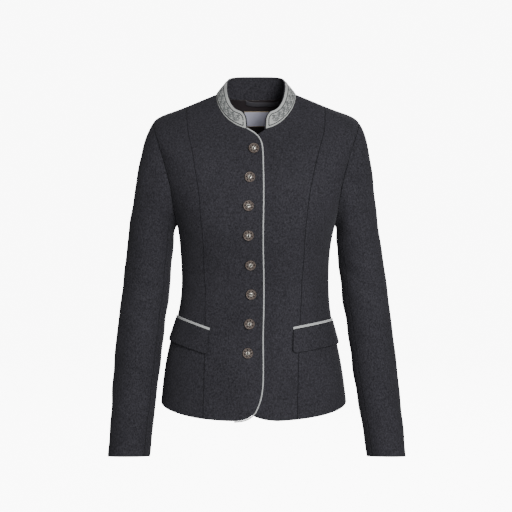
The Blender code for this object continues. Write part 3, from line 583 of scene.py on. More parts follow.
def wool_material(name, dark, light):
    """Fulled wool with mixed fibres and a short nap, with painted shade darkening it where each seam
    sinks in.
    """
    paint = Paint(name, Sheen_Weight=0.08, Sheen_Roughness=0.5, Specular_IOR_Level=0.12)
    paint.shader.inputs["Sheen Tint"].default_value = (0.60, 0.60, 0.66, 1.0)
    fibres = paint.noise(paint.place((1.0, 1.0, 0.5)), 1300, 3.0, 0.65)
    flecks = paint.noise(paint.place((1.0, 1.0, 0.75)), 380, 3.0, 0.75)
    clouds = paint.noise(paint.place(), 9.0, 2.0, 0.5)
    mixed = fibres * 0.35 + flecks * 0.65 + clouds * 0.10
    share = paint.node("MapRange", None, {0: mixed, 1: 0.42, 2: 0.70})
    # Painted shade: an attribute darkens the wool towards a near-black colour along seams and flap
    # edges.
    painted_shade = paint.node("Attribute", {"attribute_name": "painted_shade"}, None, "Fac")
    colour = paint.mix(painted_shade, paint.mix(share, dark, light), PAINTED_SHADE_COLOUR)
    nap = paint.bump(fibres * 0.6 + flecks * 0.6, 0.0006, 0.5)
    return paint.finish(Base_Color=colour, Roughness=0.82 + flecks * 0.18, Normal=nap)


def felt_material(name, dark, light):
    """Dense pale felt, clouded and a little hairy."""
    paint = Paint(name, Sheen_Weight=0.25, Sheen_Roughness=0.5, Specular_IOR_Level=0.25)
    place = paint.place()
    hairs = paint.noise(place, 1800, 3.0, 0.7)
    clouds = paint.noise(place, 330, 3.0, 0.6)
    share = paint.node("MapRange", None, {0: hairs * 0.4 + clouds * 0.6, 1: 0.36, 2: 0.66})
    colour = paint.mix(share, dark, light)
    face = paint.bump(hairs * 0.5 + clouds, 0.0004, 0.5)
    return paint.finish(Base_Color=colour, Roughness=0.85 + hairs * 0.12, Normal=face)


def smooth_cloth_material(name, dark, light, roughness, threads=1400.0):
    """Woven lining, satin or ribbon: fine threads both ways on the piece's own UV map."""
    paint = Paint(name, Specular_IOR_Level=0.4)
    place = paint.place(source="UV")
    warp = paint.node("TexWave", {"bands_direction": "X"}, {"Vector": place, "Scale": threads})
    weft = paint.node("TexWave", {"bands_direction": "Y"}, {"Vector": place, "Scale": threads})
    slubs = paint.noise(paint.place((1.0, 12.0, 1.0), "UV"), 160, 2.0, 0.6)
    colour = paint.mix(slubs, dark, light)
    weave = paint.bump(warp * 0.5 + weft * 0.5, 0.00015, 0.4)
    return paint.finish(Base_Color=colour, Roughness=roughness + slubs * 0.15, Normal=weave)


def select_only(*objects):
    bpy.ops.object.select_all(action="DESELECT")
    for made in objects:
        made.select_set(True)
    bpy.context.view_layer.objects.active = objects[0]


def edit(*steps):
    """Runs edit-mode operators on all of the active object."""
    bpy.ops.object.mode_set(mode="EDIT")
    bpy.ops.mesh.select_all(action="SELECT")
    for step in steps:
        step()
    bpy.ops.object.mode_set(mode="OBJECT")


def cloth_wall(name, outer, inner, materials, painted_shade=None):
    """A sheet of cloth: a grid extruded to two faces, each laid on its own points."""
    columns, rows = outer.shape[0] - 1, outer.shape[1] - 1
    bpy.ops.object.select_all(action="DESELECT")
    bpy.ops.mesh.primitive_grid_add(x_subdivisions=columns, y_subdivisions=rows, size=1)
    made = bpy.context.object
    made.name = made.data.name = name
    edit(bpy.ops.mesh.extrude_region)
    data = made.data
    count = len(data.vertices)
    places, chosen = np.zeros(count * 3), np.zeros(count, bool)
    data.vertices.foreach_get("co", places)
    data.vertices.foreach_get("select", chosen)
    places = places.reshape(-1, 3)
    i = np.rint((places[:, 0] + 0.5) * columns).astype(int)
    j = np.rint((places[:, 1] + 0.5) * rows).astype(int)
    laid = np.where(chosen[:, None], inner[i, j], outer[i, j])
    data.vertices.foreach_set("co", laid.ravel())
    across = along(outer)
    across = across - across[-1] / 2
    lengthways = along(np.moveaxis(outer, 1, 0))[:, columns // 2]
    corners = np.zeros(len(data.loops), int)
    data.loops.foreach_get("vertex_index", corners)
    u, v = across[i, j][corners], lengthways[j][corners]
    data.uv_layers.active.data.foreach_set("uv", np.stack([u, v], axis=-1).ravel())
    # The attribute written here carries the painted shade along seams and edges; the inner face gets
    # none.
    if painted_shade is not None:
        shade = np.where(chosen, 0.0, np.broadcast_to(painted_shade, outer.shape[:2])[i, j])
        data.attributes.new("painted_shade", "FLOAT", "POINT").data.foreach_set("value", shade)
    for material in materials:
        data.materials.append(material)
    if len(materials) > 1:
        for face in data.polygons:
            face.material_index = int(all(chosen[k] for k in face.vertices))
    edit(lambda: bpy.ops.mesh.normals_make_consistent(inside=False))
    bpy.ops.object.shade_smooth()
    return made


LEAST_FLAT = 0.011  # the least width or length that is worked out for a sheet


def declare(made, node=None, outer=None):
    """Rides and replaces, and for a sheet works out a flat width, length and area, which nothing
    keeps.
    """
    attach(made, "root")
    if node:
        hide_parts(node)
    if outer is not None:
        width = max(along(outer)[-1].max(), LEAST_FLAT)
        length = max(along(np.moveaxis(outer, 1, 0))[-1].max(), LEAST_FLAT)
        right = outer[1:, :-1] - outer[:-1, :-1]
        up = outer[:-1, 1:] - outer[:-1, :-1]
        area = np.linalg.norm(np.cross(right, up), axis=-1).sum()
        area = min(max(area, 0.31 * width * length), width * length)


def painted_shade_at(way, reach=SEAM_SHADE_REACH):
    """How much painted shade darkens the wool at this way from a seam, where the two edges roll in to
    it.
    """
    return SEAM_SHADE * (1 - ease((way - reach * 0.35) / (reach * 0.65)))


def wall_lifts(to_seam, to_edge, cloth, kit):
    """How deep both faces of a wall lie, by the way to a seam and to a turned free edge."""
    turned = round_drop(to_edge, kit.edge_roundness)
    return -np.maximum(round_drop(to_seam, kit.roundness), turned), -cloth + turned


def panel_grid(first, last, count):
    """Spots for each column and row between two lines, and each one's way to both lines."""
    share = np.linspace(0, 1, 121)[:, None, None]
    fine = first + (last - first) * share
    travelled = along(bare_body(fine[..., 0], fine[..., 1]))
    width = travelled[-1]
    spots, ways = [], []
    for row, total in enumerate(width):
        stops = shaped(0.0, total, count)
        place = np.interp(stops, travelled[:, row], share[:, 0, 0])[:, None]
        spots.append(first[row] + (last[row] - first[row]) * place)
        ways.append((stops, total - stops))
    return np.moveaxis(np.array(spots), 0, 1), np.moveaxis(np.array(ways), 0, 2)


def tuck_at(points, top_edge):
    """How far the under front lies back, behind and just beside the top front."""
    x, z = points[..., 0], points[..., 2]
    beyond = x > np.interp(z, top_edge[:, 1], top_edge[:, 0])
    gaps = np.stack([x, z], axis=-1)[..., None, :] - top_edge
    past = np.where(beyond, np.linalg.norm(gaps, axis=-1).min(axis=-1), 0.0)
    return -TUCK * (1 - ease((past - TUCK_START) / TUCK_FADE))


def add_panel(name, first_line, last_line, kit, is_front=False, tucked=None):
    """A body panel between two lines, each given as a function of rows."""
    rows = panel_rows(0.0, ROW_TOP * FINE + 1)
    spots, ways = panel_grid(first_line(rows), last_line(rows), kit.columns)
    hem = np.broadcast_to(rows * ROW_LENGTH, ways[0].shape)
    top = (ROW_TOP - rows) * ROW_LENGTH
    to_seam, to_edge = np.minimum(ways[1], top), hem
    if is_front:
        to_edge = np.minimum(to_edge, ways[0])
    else:
        to_seam = np.minimum(to_seam, ways[0])
    outer_lift, inner_lift = wall_lifts(to_seam, to_edge, CLOTH, kit)
    angle, level = spots[..., 0], spots[..., 1]
    lift = 0.0
    if tucked is not None:
        lift = tuck_at(bare_body(angle, level), tucked)
    outer, inner = body(angle, level, lift + outer_lift), body(angle, level, lift + inner_lift)
    # Painted shade along the panel's seams.
    painted_shade = painted_shade_at(to_seam)
    made = cloth_wall(f"{name}_cloth", outer, inner, (kit.wool, kit.lining), painted_shade)
    declare(made, name, outer=outer)
    return made


Kit = namedtuple("Kit", "wool lining roundness edge_roundness columns")


def sleeve_arm(side, angle, z):
    """A point of a sleeve's arm part: angle 0 is its outer side and 90 its front."""
    sections = spline([section.z for section in SECTIONS[::-1]], SECTIONS[::-1])
    section = Section(*np.moveaxis(sections(z), -1, 0))
    if side == RIGHT:
        outer, inner = section.right_outer, section.right_inner
    else:
        outer, inner = section.left_outer, section.left_inner
    cosine, sine = np.cos(np.radians(angle)), np.sin(np.radians(angle))
    x = (outer + inner) / 2 + (outer - inner) / 2 * power(cosine, 2 / SLEEVE_SQUARE)
    forward = section.half_depth * power(sine, 2 / SLEEVE_SQUARE)
    return np.stack([x * side, section.y - forward, section.z + section.tilt * forward], axis=-1)


ARMHOLE_STEPS = 2 * (ROW_TOP - ROW_BUST)
STEP_LENGTH = 0.0112  # of one armhole step round the sleeve, on average
SETTLE_ROWS = 8.0  # over which the sleeve's face turns from the armhole's to its own
SLEEVE_GIRTH = 0.285  # by which a fold's place round the sleeve becomes a length


def armhole_spots(side, steps):
    """The armhole's spots at steps from the tip, round by the front."""
    steps = np.mod(steps, ARMHOLE_STEPS)
    front = side_line(side, False, np.maximum(ROW_TOP - steps, ROW_BUST))
    back = side_line(side, True, np.clip(steps - ARMHOLE_STEPS / 2 + ROW_BUST, ROW_BUST, ROW_TOP))
    return np.where((steps <= ARMHOLE_STEPS / 2)[:, None], front, back)


def sleeve_faces(side, steps):
    """Both faces of a sleeve for these steps round it, with the wall's rounded edges."""
    spots = armhole_spots(side, steps)
    start, facing = body(spots[:, 0], spots[:, 1]), outward(spots[:, 0], spots[:, 1])
    after, before = armhole_spots(side, steps + 1), armhole_spots(side, steps - 1)
    run = unit(body(after[:, 0], after[:, 1]) - body(before[:, 0], before[:, 1]))
    away = unit(np.cross(facing, run)) * side
    wrapped = np.mod(steps, ARMHOLE_STEPS)
    shares = np.minimum(wrapped, ARMHOLE_STEPS - wrapped) / (ARMHOLE_STEPS / 2)
    turn = np.radians(TIP_TURN + (UNDERARM_TURN - TIP_TURN) * shares**TURN_POWER)[:, None]
    directions = away * np.cos(turn) + facing * np.sin(turn)
    pulls = (TIP_PULL + (UNDERARM_PULL - TIP_PULL) * shares)[:, None]
    angle = 360 * steps / ARMHOLE_STEPS
    top_z, cuff_z = SECTIONS[0].z, SECTIONS[-1].z
    end = sleeve_arm(side, angle, np.full_like(angle, top_z))
    leaving = directions * pulls
    below = sleeve_arm(side, angle, np.full_like(angle, top_z - 0.01))
    length = np.linalg.norm(end - start, axis=-1, keepdims=True)
    arriving = unit(below - end) * length
    rim = np.array(RIM)
    cap = [(rim / length) ** (1 / CAP_CROWDING)]
    cap += [np.full_like(length, share) for share in np.linspace(0.10, 1, CAP_ROWS * FINE)[:-1]]
    cap = np.concatenate(cap, axis=1)
    cap.sort(axis=1)
    t = (cap**CAP_CROWDING)[..., None]
    start, end, leaving, arriving = (item[:, None, :] for item in (start, end, leaving, arriving))
    upper = (
        (2 * t**3 - 3 * t**2 + 1) * start
        + (t**3 - 2 * t**2 + t) * leaving
        + (3 * t**2 - 2 * t**3) * end
        + (t**3 - t**2) * arriving
    )
    z = np.concatenate([np.linspace(top_z, cuff_z + rim[-1], ARM_ROWS * FINE * 2)[:-1],
                        cuff_z + rim[::-1]])
    arm = sleeve_arm(side, angle[:, None], np.broadcast_to(z, (len(steps), len(z))))
    grid = np.concatenate([upper, arm], axis=1)
    around = np.gradient(grid, axis=0)
    face = unit(np.cross(around, np.gradient(grid, axis=1))) * side
    lean = np.sum(face[:, 0] * away, axis=1, keepdims=True)
    first = unit(face[:, 0] - np.maximum(lean, 0.0) * away)
    span = np.arange(grid.shape[1])
    settle = np.exp(-((span / SETTLE_ROWS) ** 2))[None, :, None]
    face = unit(face * (1 - settle) + first[:, None, :] * settle)
    height = unevenness(grid) * 1.2
    keep = ease(np.arange(grid.shape[1]) / 10)
    for fold in SLEEVE_FOLDS:
        turned = np.mod(angle - fold.angle + 180, 360) - 180
        across = np.broadcast_to((turned / 360 * SLEEVE_GIRTH)[:, None], grid.shape[:2])
        height = height + turned_height(fold, across, grid[..., 2] - fold.z)
    grid = grid + face * (height * keep)[..., None]
    return grid, face


def add_sleeve_half(side, name, first, last, kit):
    """The upper or the under sleeve, between two seams given as armhole steps."""
    steps = edge_rows(first, last, STEP_LENGTH, (last - first) * 4 + 1)
    grid, face = sleeve_faces(side, steps)
    across = along(grid)
    down = along(np.moveaxis(grid, 1, 0)).T
    to_seam = np.minimum(np.minimum(across, across[-1] - across), down)
    outer_lift, inner_lift = wall_lifts(to_seam, down[:, -1:] - down, CLOTH, kit)
    outer = grid + face * outer_lift[..., None]
    inner = grid + face * inner_lift[..., None]
    # Painted shade along the sleeve's seams and at the armhole.
    painted_shade = painted_shade_at(to_seam)
    made = cloth_wall(f"{name}_cloth", outer, inner, (kit.wool, kit.lining), painted_shade)
    declare(made, name, outer=outer)


QUARTER = ROW_TOP - ROW_COLLAR  # collar stations from an end or the back to the shoulder
LAST_STATION = 4 * QUARTER


def collar_angle(stations):
    """The angle at the collar's stations, from its right end round the back to its left."""
    stops = (collar_end(RIGHT), -90.0, -180.0, -270.0, collar_end(LEFT) - 360.0)
    past = np.minimum(stations, 0.0) + np.maximum(stations - LAST_STATION, 0.0)
    turn = (stops[1] - stops[0]) / QUARTER
    return np.interp(stations, np.arange(5) * QUARTER, stops) + past * turn


def collar_step():
    """The length of one station along the neck seam, near the collar's ends."""
    angle = collar_angle(np.array([0.0, 1.0]))
    ends = body(angle, np.ones(2))
    return float(np.linalg.norm(ends[1] - ends[0]))


def collar_lines(stations):
    """The collar's foot, its upper edge and its way out at these stations."""
    angle = collar_angle(stations)
    foot = body(angle, np.ones_like(angle))
    sine, cosine = np.sin(np.radians(angle)), np.cos(np.radians(angle))
    heights = spline([edge.angle for edge in COLLAR_TOP], [[edge.z] for edge in COLLAR_TOP])
    from_front = np.degrees(np.arccos(np.clip(cosine, -1, 1)))
    far_y = np.where(cosine > 0, COLLAR_FRONT_Y, COLLAR_BACK_Y)
    top = np.stack([
        COLLAR_HALF_WIDTH * power(sine, 2 / COLLAR_SQUARE),
        far_y * np.abs(cosine) ** (2 / COLLAR_SQUARE),
        heights(from_front)[..., 0],
    ], axis=-1)
    away = unit(foot * (1.0, COLLAR_DEPTH_SHARE, 0.0))
    return foot, top, away


def collar_height(stations):
    foot, top, _ = collar_lines(stations)
    return np.linalg.norm(top - foot, axis=-1)


def collar_points(stations, up):
    """Points of the collar's outer face: up is a share of the full height."""
    foot, top, away = collar_lines(stations)
    bow = (COLLAR_BOW * 4 * up * (1 - up))[..., None]
    return foot + (top - foot) * up[..., None] + away * bow


def collar_facing(stations, up):
    around = collar_points(stations + 0.1, up) - collar_points(stations - 0.1, up)
    rising = collar_points(stations, up + 0.02) - collar_points(stations, up - 0.02)
    return unit(np.cross(rising, around))


def on_collar(from_end, height, lift, end=RIGHT):
    """Points on the collar, by the way from its end and above the neck seam, in metres."""
    stations = from_end / collar_step()
    if end == LEFT:
        stations = LAST_STATION - stations
    up = height / collar_height(stations)
    facing = collar_facing(stations, up)
    return collar_points(stations, up) + facing * lift, facing


def collar_walls(depth, cloth, radius, past=0.0, over=0.0, foot=0.0):
    """Both faces of one of the collar's cloths, by its depth and its reach past the felt."""
    step = collar_step()
    spare = past / step
    stations = edge_rows(-spare, LAST_STATION + spare, step, LAST_STATION * 8 + 1)
    from_end = np.minimum(stations, LAST_STATION - stations) * step + past
    full = collar_height(stations)
    tops = full + over - round_drop(from_end, COLLAR_CORNER)
    heights = np.array([shaped(-foot, top, 24) for top in tops])
    up = heights / full[:, None]
    around = np.broadcast_to(stations[:, None], up.shape)
    points, facing = collar_points(around, up), collar_facing(around, up)
    way = np.minimum(heights + foot, tops[:, None] - heights)
    drop = round_drop(np.minimum(way, from_end[:, None]), radius)[..., None]
    return points - facing * (depth + drop), points - facing * (depth + cloth - drop)


def add_mesh(name, points, faces, materials):
    data = bpy.data.meshes.new(name)
    data.from_pydata(points, [], faces)
    made = bpy.data.objects.new(name, data)
    bpy.context.scene.collection.objects.link(made)
    for material in materials:
        data.materials.append(material)
    select_only(made)
    edit(lambda: bpy.ops.mesh.normals_make_consistent(inside=False))
    bpy.ops.object.shade_smooth()
    return made


class Strands:
    """Threads and cords, each a closed tube, gathered for one mesh."""

    def __init__(self):
        self.points, self.faces = [], []

    def add(self, path, facing, half_width, height, sides=6):
        """A tube along a path: its half width may vary, and it is as high as stated."""
        path = np.asarray(path)
        run = unit(np.gradient(path, axis=0))
        across = unit(np.cross(facing, run))
        out = unit(np.cross(run, across))
        start, count = len(self.points), len(path)
        half_width = np.broadcast_to(half_width, count)
        height = np.broadcast_to(height, count)
        for k in range(count):
            for turn in np.arange(sides) * math.tau / sides:
                side = across[k] * half_width[k] * math.cos(turn)
                self.points.append(path[k] + side + out[k] * height[k] * math.sin(turn))
        for k in range(count - 1):
            low = start + k * sides
            for n in range(sides):
                after = (n + 1) % sides
                self.faces.append((low + n, low + after, low + sides + after, low + sides + n))
        self.faces.append(tuple(range(start, start + sides)))
        last = start + (count - 1) * sides
        self.faces.append(tuple(range(last + sides - 1, last - 1, -1)))

    def stitches(self, path, facing, length, gap, half_width, height):
        """Single stitches along a path, a gap apart, each dipping in at both ends."""
        travelled = along(path)
        for first in np.arange(0.0, travelled[-1] - length, length + gap):
            stops = first + length * np.array([0.0, 0.12, 0.35, 0.65, 0.88, 1.0])
            line, way = (
                np.stack([np.interp(stops, travelled, item[:, i]) for i in range(3)], axis=-1)
                for item in (path, facing)
            )
            dip = np.array([-1.0, -0.2, 0.0, 0.0, -0.2, -1.0])[:, None] * height
            slim = np.array([0.5, 0.9, 1.0, 1.0, 0.9, 0.5])
            self.add(line + way * dip, way, half_width * slim, height * slim)

    def build(self, name, material):
        return add_mesh(name, self.points, self.faces, (material,))


def vine_strokes():
    """A running vine in metres: strokes of (points, half widths) for one repeat."""
    pitch = 0.0165
    t = np.linspace(0, 1, 25)
    stem = np.stack([t * pitch, 0.0030 * np.sin(math.tau * t)], axis=-1)
    strokes = [(stem, np.full(25, 0.00075))]
    for sign, middle in ((1, 0.25), (-1, 0.75)):
        turn = np.linspace(0, 1, 24)
        radius = 0.0042 * (1 - 0.70 * turn)
        angle = sign * (math.radians(-75) + turn * math.radians(440))
        centre = np.array([middle * pitch + 0.0006, sign * -0.0020])
        curl = centre + radius[:, None] * np.stack([np.cos(angle), np.sin(angle)], axis=-1)
        strokes.append((curl, 0.00078 * (1 - 0.30 * turn)))
        for tilt, reach, away in ((20, 0.0062, 0.0014), (70, 0.0050, 0.0010), (125, 0.0052, 0.0014)):
            heading = math.radians(tilt) * sign
            way = np.array([math.cos(heading), math.sin(heading)])
            root = np.array([middle * pitch, sign * 0.0030]) + way * away
            along_leaf = np.linspace(0, 1, 8)
            leaf = root + along_leaf[:, None] * way * (reach - away)
            strokes.append((leaf, 0.00020 + 0.00110 * np.sin(math.pi * along_leaf) ** 0.8))
    return pitch, strokes


# The fine button's section, from the middle of its face over the rim to its back.
FINE_BUTTON = (
    (0.0000, 0.0055), (0.0016, 0.0054), (0.0028, 0.0050), (0.0036, 0.0042), (0.0040, 0.0028),
    (0.0043, 0.0026), (0.0047, 0.0031), (0.0052, 0.0033), (0.0070, 0.0034), (0.0077, 0.0031),
    (0.0081, 0.0030), (0.0086, 0.0039), (0.0091, 0.0040), (0.0096, 0.0034), (0.0097, 0.0026),
    (0.0094, 0.0008), (0.0086, 0.0000), (0.0000, 0.0000),
)
CARVED_IN, CARVED_OUT, CARVED_MARKS, CARVED_DEPTH = 0.0046, 0.0080, 7, 0.0008
SLOT_LENGTH, SLOT_WIDTH, SLOT_DEPTH, SLOT_BEND = 0.0032, 0.00150, 0.0022, 0.0011


def turned_button(name):
    """A button turned about its axis, with its ring carved and its middle slotted."""
    profile = np.array(FINE_BUTTON)
    stops = along(profile)
    fine = np.unique(np.concatenate([np.linspace(0, stops[-2], 60), stops]))
    line = np.stack([np.interp(fine, stops, profile[:, i]) for i in (0, 1)], axis=-1)
    data = bpy.data.meshes.new(name)
    edges = [(i, i + 1) for i in range(len(line) - 1)]
    data.from_pydata([(radius, 0.0, height) for radius, height in line], edges, [])
    made = bpy.data.objects.new(name, data)
    bpy.context.scene.collection.objects.link(made)
    select_only(made)
    turned = made.modifiers.new("Turned", "SCREW")
    turned.steps = turned.render_steps = 96
    turned.use_merge_vertices = True
    turned.merge_threshold = 0.00005
    bpy.ops.object.modifier_apply(modifier=turned.name)
    edit(lambda: bpy.ops.mesh.normals_make_consistent(inside=False))
    data = made.data
    points = np.zeros(len(data.vertices) * 3)
    data.vertices.foreach_get("co", points)
    points = points.reshape(-1, 3)
    x, y, z = points.T
    radius, angle = np.hypot(x, y), np.arctan2(y, x)
    upper = z > 0.0022
    band = ease((radius - CARVED_IN) / 0.0006) * ease((CARVED_OUT - radius) / 0.0006)
    lean = 2.2 * np.sin((radius - CARVED_IN) / (CARVED_OUT - CARVED_IN) * math.pi)
    marks = ease((np.cos(CARVED_MARKS * angle + lean) - 0.25) / 0.4)
    marks = np.maximum(marks, ease((np.cos(2 * CARVED_MARKS * angle - 2 * lean) - 0.75) / 0.2))
    bent = y - SLOT_BEND * (np.sin(x / SLOT_LENGTH * 1.6))
    slot = ease((SLOT_WIDTH - np.abs(bent)) / 0.00035 + 0.5)
    slot = slot * ease((SLOT_LENGTH - np.abs(x)) / 0.0004)
    hollow = upper * np.maximum(band * marks, slot)
    points[:, 2] -= upper * (band * marks * CARVED_DEPTH + slot * SLOT_DEPTH)
    data.vertices.foreach_set("co", points.ravel())
    # The hollow attribute marks the carved marks and the slot, for their painted shade and their
    # rougher finish.
    data.attributes.new("hollow", "FLOAT", "POINT").data.foreach_set("value", hollow)
    data.attributes.new("radius", "FLOAT", "POINT").data.foreach_set("value", radius * 1000)
    bpy.ops.object.shade_smooth()
    return made


def horn_material(name, dark, light, middle):
    """Carved horn with a bright domed middle, with painted shade darkening its carved hollows and
    slot.
    """
    paint = Paint(name, Coat_Roughness=0.12)
    radius = paint.node("Attribute", {"attribute_name": "radius"}, None, "Fac")
    hollow = paint.node("Attribute", {"attribute_name": "hollow"}, None, "Fac")
    place = paint.place((1.0, 1.0, 0.5))
    streaks = paint.noise(place, 620, 4.0, 0.65)
    spots = paint.noise(place, 1900, 2.0, 0.5)
    share = paint.node("MapRange", None, {0: streaks * 0.7 + spots * 0.3, 1: 0.36, 2: 0.64})
    horn = paint.mix(share, dark, light)
    in_middle = paint.node("MapRange", None, {0: radius, 1: 3.95, 2: 3.70})
    face = paint.mix(in_middle, horn, middle)
    # Painted shade: the carved marks and the slot are blended to near black by the hollow attribute.
    colour = paint.mix(hollow * 0.97, face, (0.004, 0.0035, 0.003))
    raised = 1 - hollow
    rough = 0.85 - raised * 0.30 - raised * in_middle * 0.30
    return paint.finish(Base_Color=colour, Roughness=rough, Metallic=raised * in_middle * 0.60,
                        Coat_Weight=raised * (in_middle * 0.85 + 0.10),
                        Normal=paint.bump(streaks, 0.0002, 0.3))


class BlazerCloth(bpy.types.PropertyGroup):
    seam_roundness: bpy.props.FloatProperty(
        name="Seam roundness", description="How far the cloth rolls in to a seam",
        default=0.0008, min=0.0001, max=0.0020, subtype="DISTANCE", unit="LENGTH", precision=5)
    edge_roundness: bpy.props.FloatProperty(
        name="Edge roundness", description="Radius to which hems and fronts are turned under",
        default=0.0009, min=0.0001, max=0.00095, subtype="DISTANCE", unit="LENGTH", precision=5)
    columns: bpy.props.IntProperty(
        name="Columns", description="Columns of faces across a body panel", default=22, min=6)
    wool_dark: bpy.props.FloatVectorProperty(
        name="Wool, dark fibres", description="Colour of the wool's darker fibres",
        default=(0.0105, 0.0102, 0.0125), subtype="COLOR", min=0, max=1)
    wool_light: bpy.props.FloatVectorProperty(
        name="Wool, light fibres", description="Colour of the wool's lighter fibres",
        default=(0.0465, 0.045, 0.0545), subtype="COLOR", min=0, max=1)
    lining_colour: bpy.props.FloatVectorProperty(
        name="Lining", description="Colour of the body and sleeve lining",
        default=(0.026, 0.020, 0.023), subtype="COLOR", min=0, max=1)


class BlazerTrim(bpy.types.PropertyGroup):
    felt_dark: bpy.props.FloatVectorProperty(
        name="Felt, dark clouds", description="Darker colour of the collar's felt",
        default=(0.30, 0.31, 0.30), subtype="COLOR", min=0, max=1)
    felt_light: bpy.props.FloatVectorProperty(
        name="Felt, light clouds", description="Lighter colour of the collar's felt",
        default=(0.45, 0.46, 0.45), subtype="COLOR", min=0, max=1)
    thread_colour: bpy.props.FloatVectorProperty(
        name="Embroidery", description="Colour of the collar's vine and stitching",
        default=(0.140, 0.148, 0.150), subtype="COLOR", min=0, max=1)
    stitch_colour: bpy.props.FloatVectorProperty(
        name="Edge stitching", description="Colour of the collar's line of edge stitching",
        default=(0.045, 0.048, 0.052), subtype="COLOR", min=0, max=1)
    stitch_inset: bpy.props.FloatProperty(
        name="Stitch inset", description="From the collar's upper edge in to its stitching",
        default=0.0052, subtype="DISTANCE", unit="LENGTH", precision=4)
    horn_colour: bpy.props.FloatVectorProperty(
        name="Horn", description="Colour of the buttons' ring",
        default=(0.155, 0.118, 0.100), subtype="COLOR", min=0, max=1)
    dome_colour: bpy.props.FloatVectorProperty(
        name="Button middle", description="Colour of the buttons' domed middle",
        default=(0.92, 0.90, 0.82), subtype="COLOR", min=0, max=1)


class BlazerStudio(bpy.types.PropertyGroup):
    look_height: bpy.props.FloatProperty(
        name="Look-at height", description="Height of the point that the camera looks at",
        default=-0.310, subtype="DISTANCE", unit="LENGTH")
    distance: bpy.props.FloatProperty(
        name="Camera distance", description="From the camera to the point it looks at",
        default=2.8, subtype="DISTANCE", unit="LENGTH")
    elevation: bpy.props.FloatProperty(
        name="Camera elevation", description="How far above level the camera stands",
        default=math.radians(8.5), subtype="ANGLE", unit="ROTATION")
    view_width: bpy.props.FloatProperty(
        name="View width", description="Width of the view at the point looked at",
        default=0.988, subtype="DISTANCE", unit="LENGTH")
    floor_height: bpy.props.FloatProperty(
        name="Floor height", description="Height of the floor that the light falls on",
        default=-1.30, subtype="DISTANCE", unit="LENGTH")
    key_power: bpy.props.FloatProperty(
        name="Key light", description="Power of the large soft light", default=87.0)
    fill_power: bpy.props.FloatProperty(
        name="Fill light", description="Power of the second soft light", default=24.0)
    back_power: bpy.props.FloatProperty(
        name="Back light", description="Power of the soft light behind", default=90.0)
    surround: bpy.props.FloatProperty(
        name="Surround", description="Strength of the light from all round", default=0.22)
    paper_glow: bpy.props.FloatProperty(
        name="Paper glow", description="How white the floor and backdrop are", default=9.0)


def kit_of(context):
    """The wool and lining materials and the values that every cloth wall shares."""
    cloth = context.scene.blazer_cloth
    wool = bpy.data.materials.get("fulled_wool") or wool_material(
        "fulled_wool", tuple(cloth.wool_dark), tuple(cloth.wool_light))
    lining = bpy.data.materials.get("body_lining") or smooth_cloth_material(
        "body_lining", tuple(0.7 * c for c in cloth.lining_colour), tuple(cloth.lining_colour), 0.5)
    return Kit(wool, lining, cloth.seam_roundness, cloth.edge_roundness, cloth.columns)


def felt_of(context):
    trim = context.scene.blazer_trim
    return bpy.data.materials.get("pale_felt") or felt_material(
        "pale_felt", tuple(trim.felt_dark), tuple(trim.felt_light))


def piping_felt():
    return bpy.data.materials.get("piping_felt") or felt_material(
        "piping_felt", (0.36, 0.37, 0.37), (0.52, 0.53, 0.53))


def thread(name, colour):
    return smooth_cloth_material(name, tuple(0.7 * c for c in colour), tuple(colour), 0.55)


class BLAZER_OT_body(bpy.types.Operator):
    """Lay the eight body panels"""

    bl_idname = "blazer.body"
    bl_label = "Body Panels"

    def execute(self, context):
        kit = kit_of(context)
        top_edge = drawn(RIGHT_FRONT_EDGE)
        for side, word in SIDES.items():
            under = top_edge if side == LEFT else None

            def edge(rows, side=side):
                return front_edge(side, rows)

            def princess(rows, side=side):
                return front_seam(side, rows)

            def shoulder_blade(rows, side=side):
                return back_seam(side, rows)

            def middle(rows, side=side):
                return centre_back(side, rows)

            def side_front(rows, side=side):
                return side_line(side, False, rows)

            def side_back(rows, side=side):
                return side_line(side, True, rows)

            add_panel(f"centre_front_{word}", edge, princess, kit, True, under)
            add_panel(f"side_front_{word}", princess, side_front, kit)
            add_panel(f"side_back_{word}", shoulder_blade, side_back, kit)
            add_panel(f"centre_back_{word}", middle, shoulder_blade, kit)
        return {"FINISHED"}


class BLAZER_OT_sleeves(bpy.types.Operator):
    """Lay both two-piece sleeves"""

    bl_idname = "blazer.sleeves"
    bl_label = "Sleeves"

    def execute(self, context):
        kit = kit_of(context)
        for side, word in SIDES.items():
            add_sleeve_half(side, f"under_sleeve_{word}", FRONT_SLEEVE_SEAM, BACK_SLEEVE_SEAM, kit)
            add_sleeve_half(side, f"upper_sleeve_{word}", BACK_SLEEVE_SEAM,
                            FRONT_SLEEVE_SEAM + ARMHOLE_STEPS, kit)
        return {"FINISHED"}


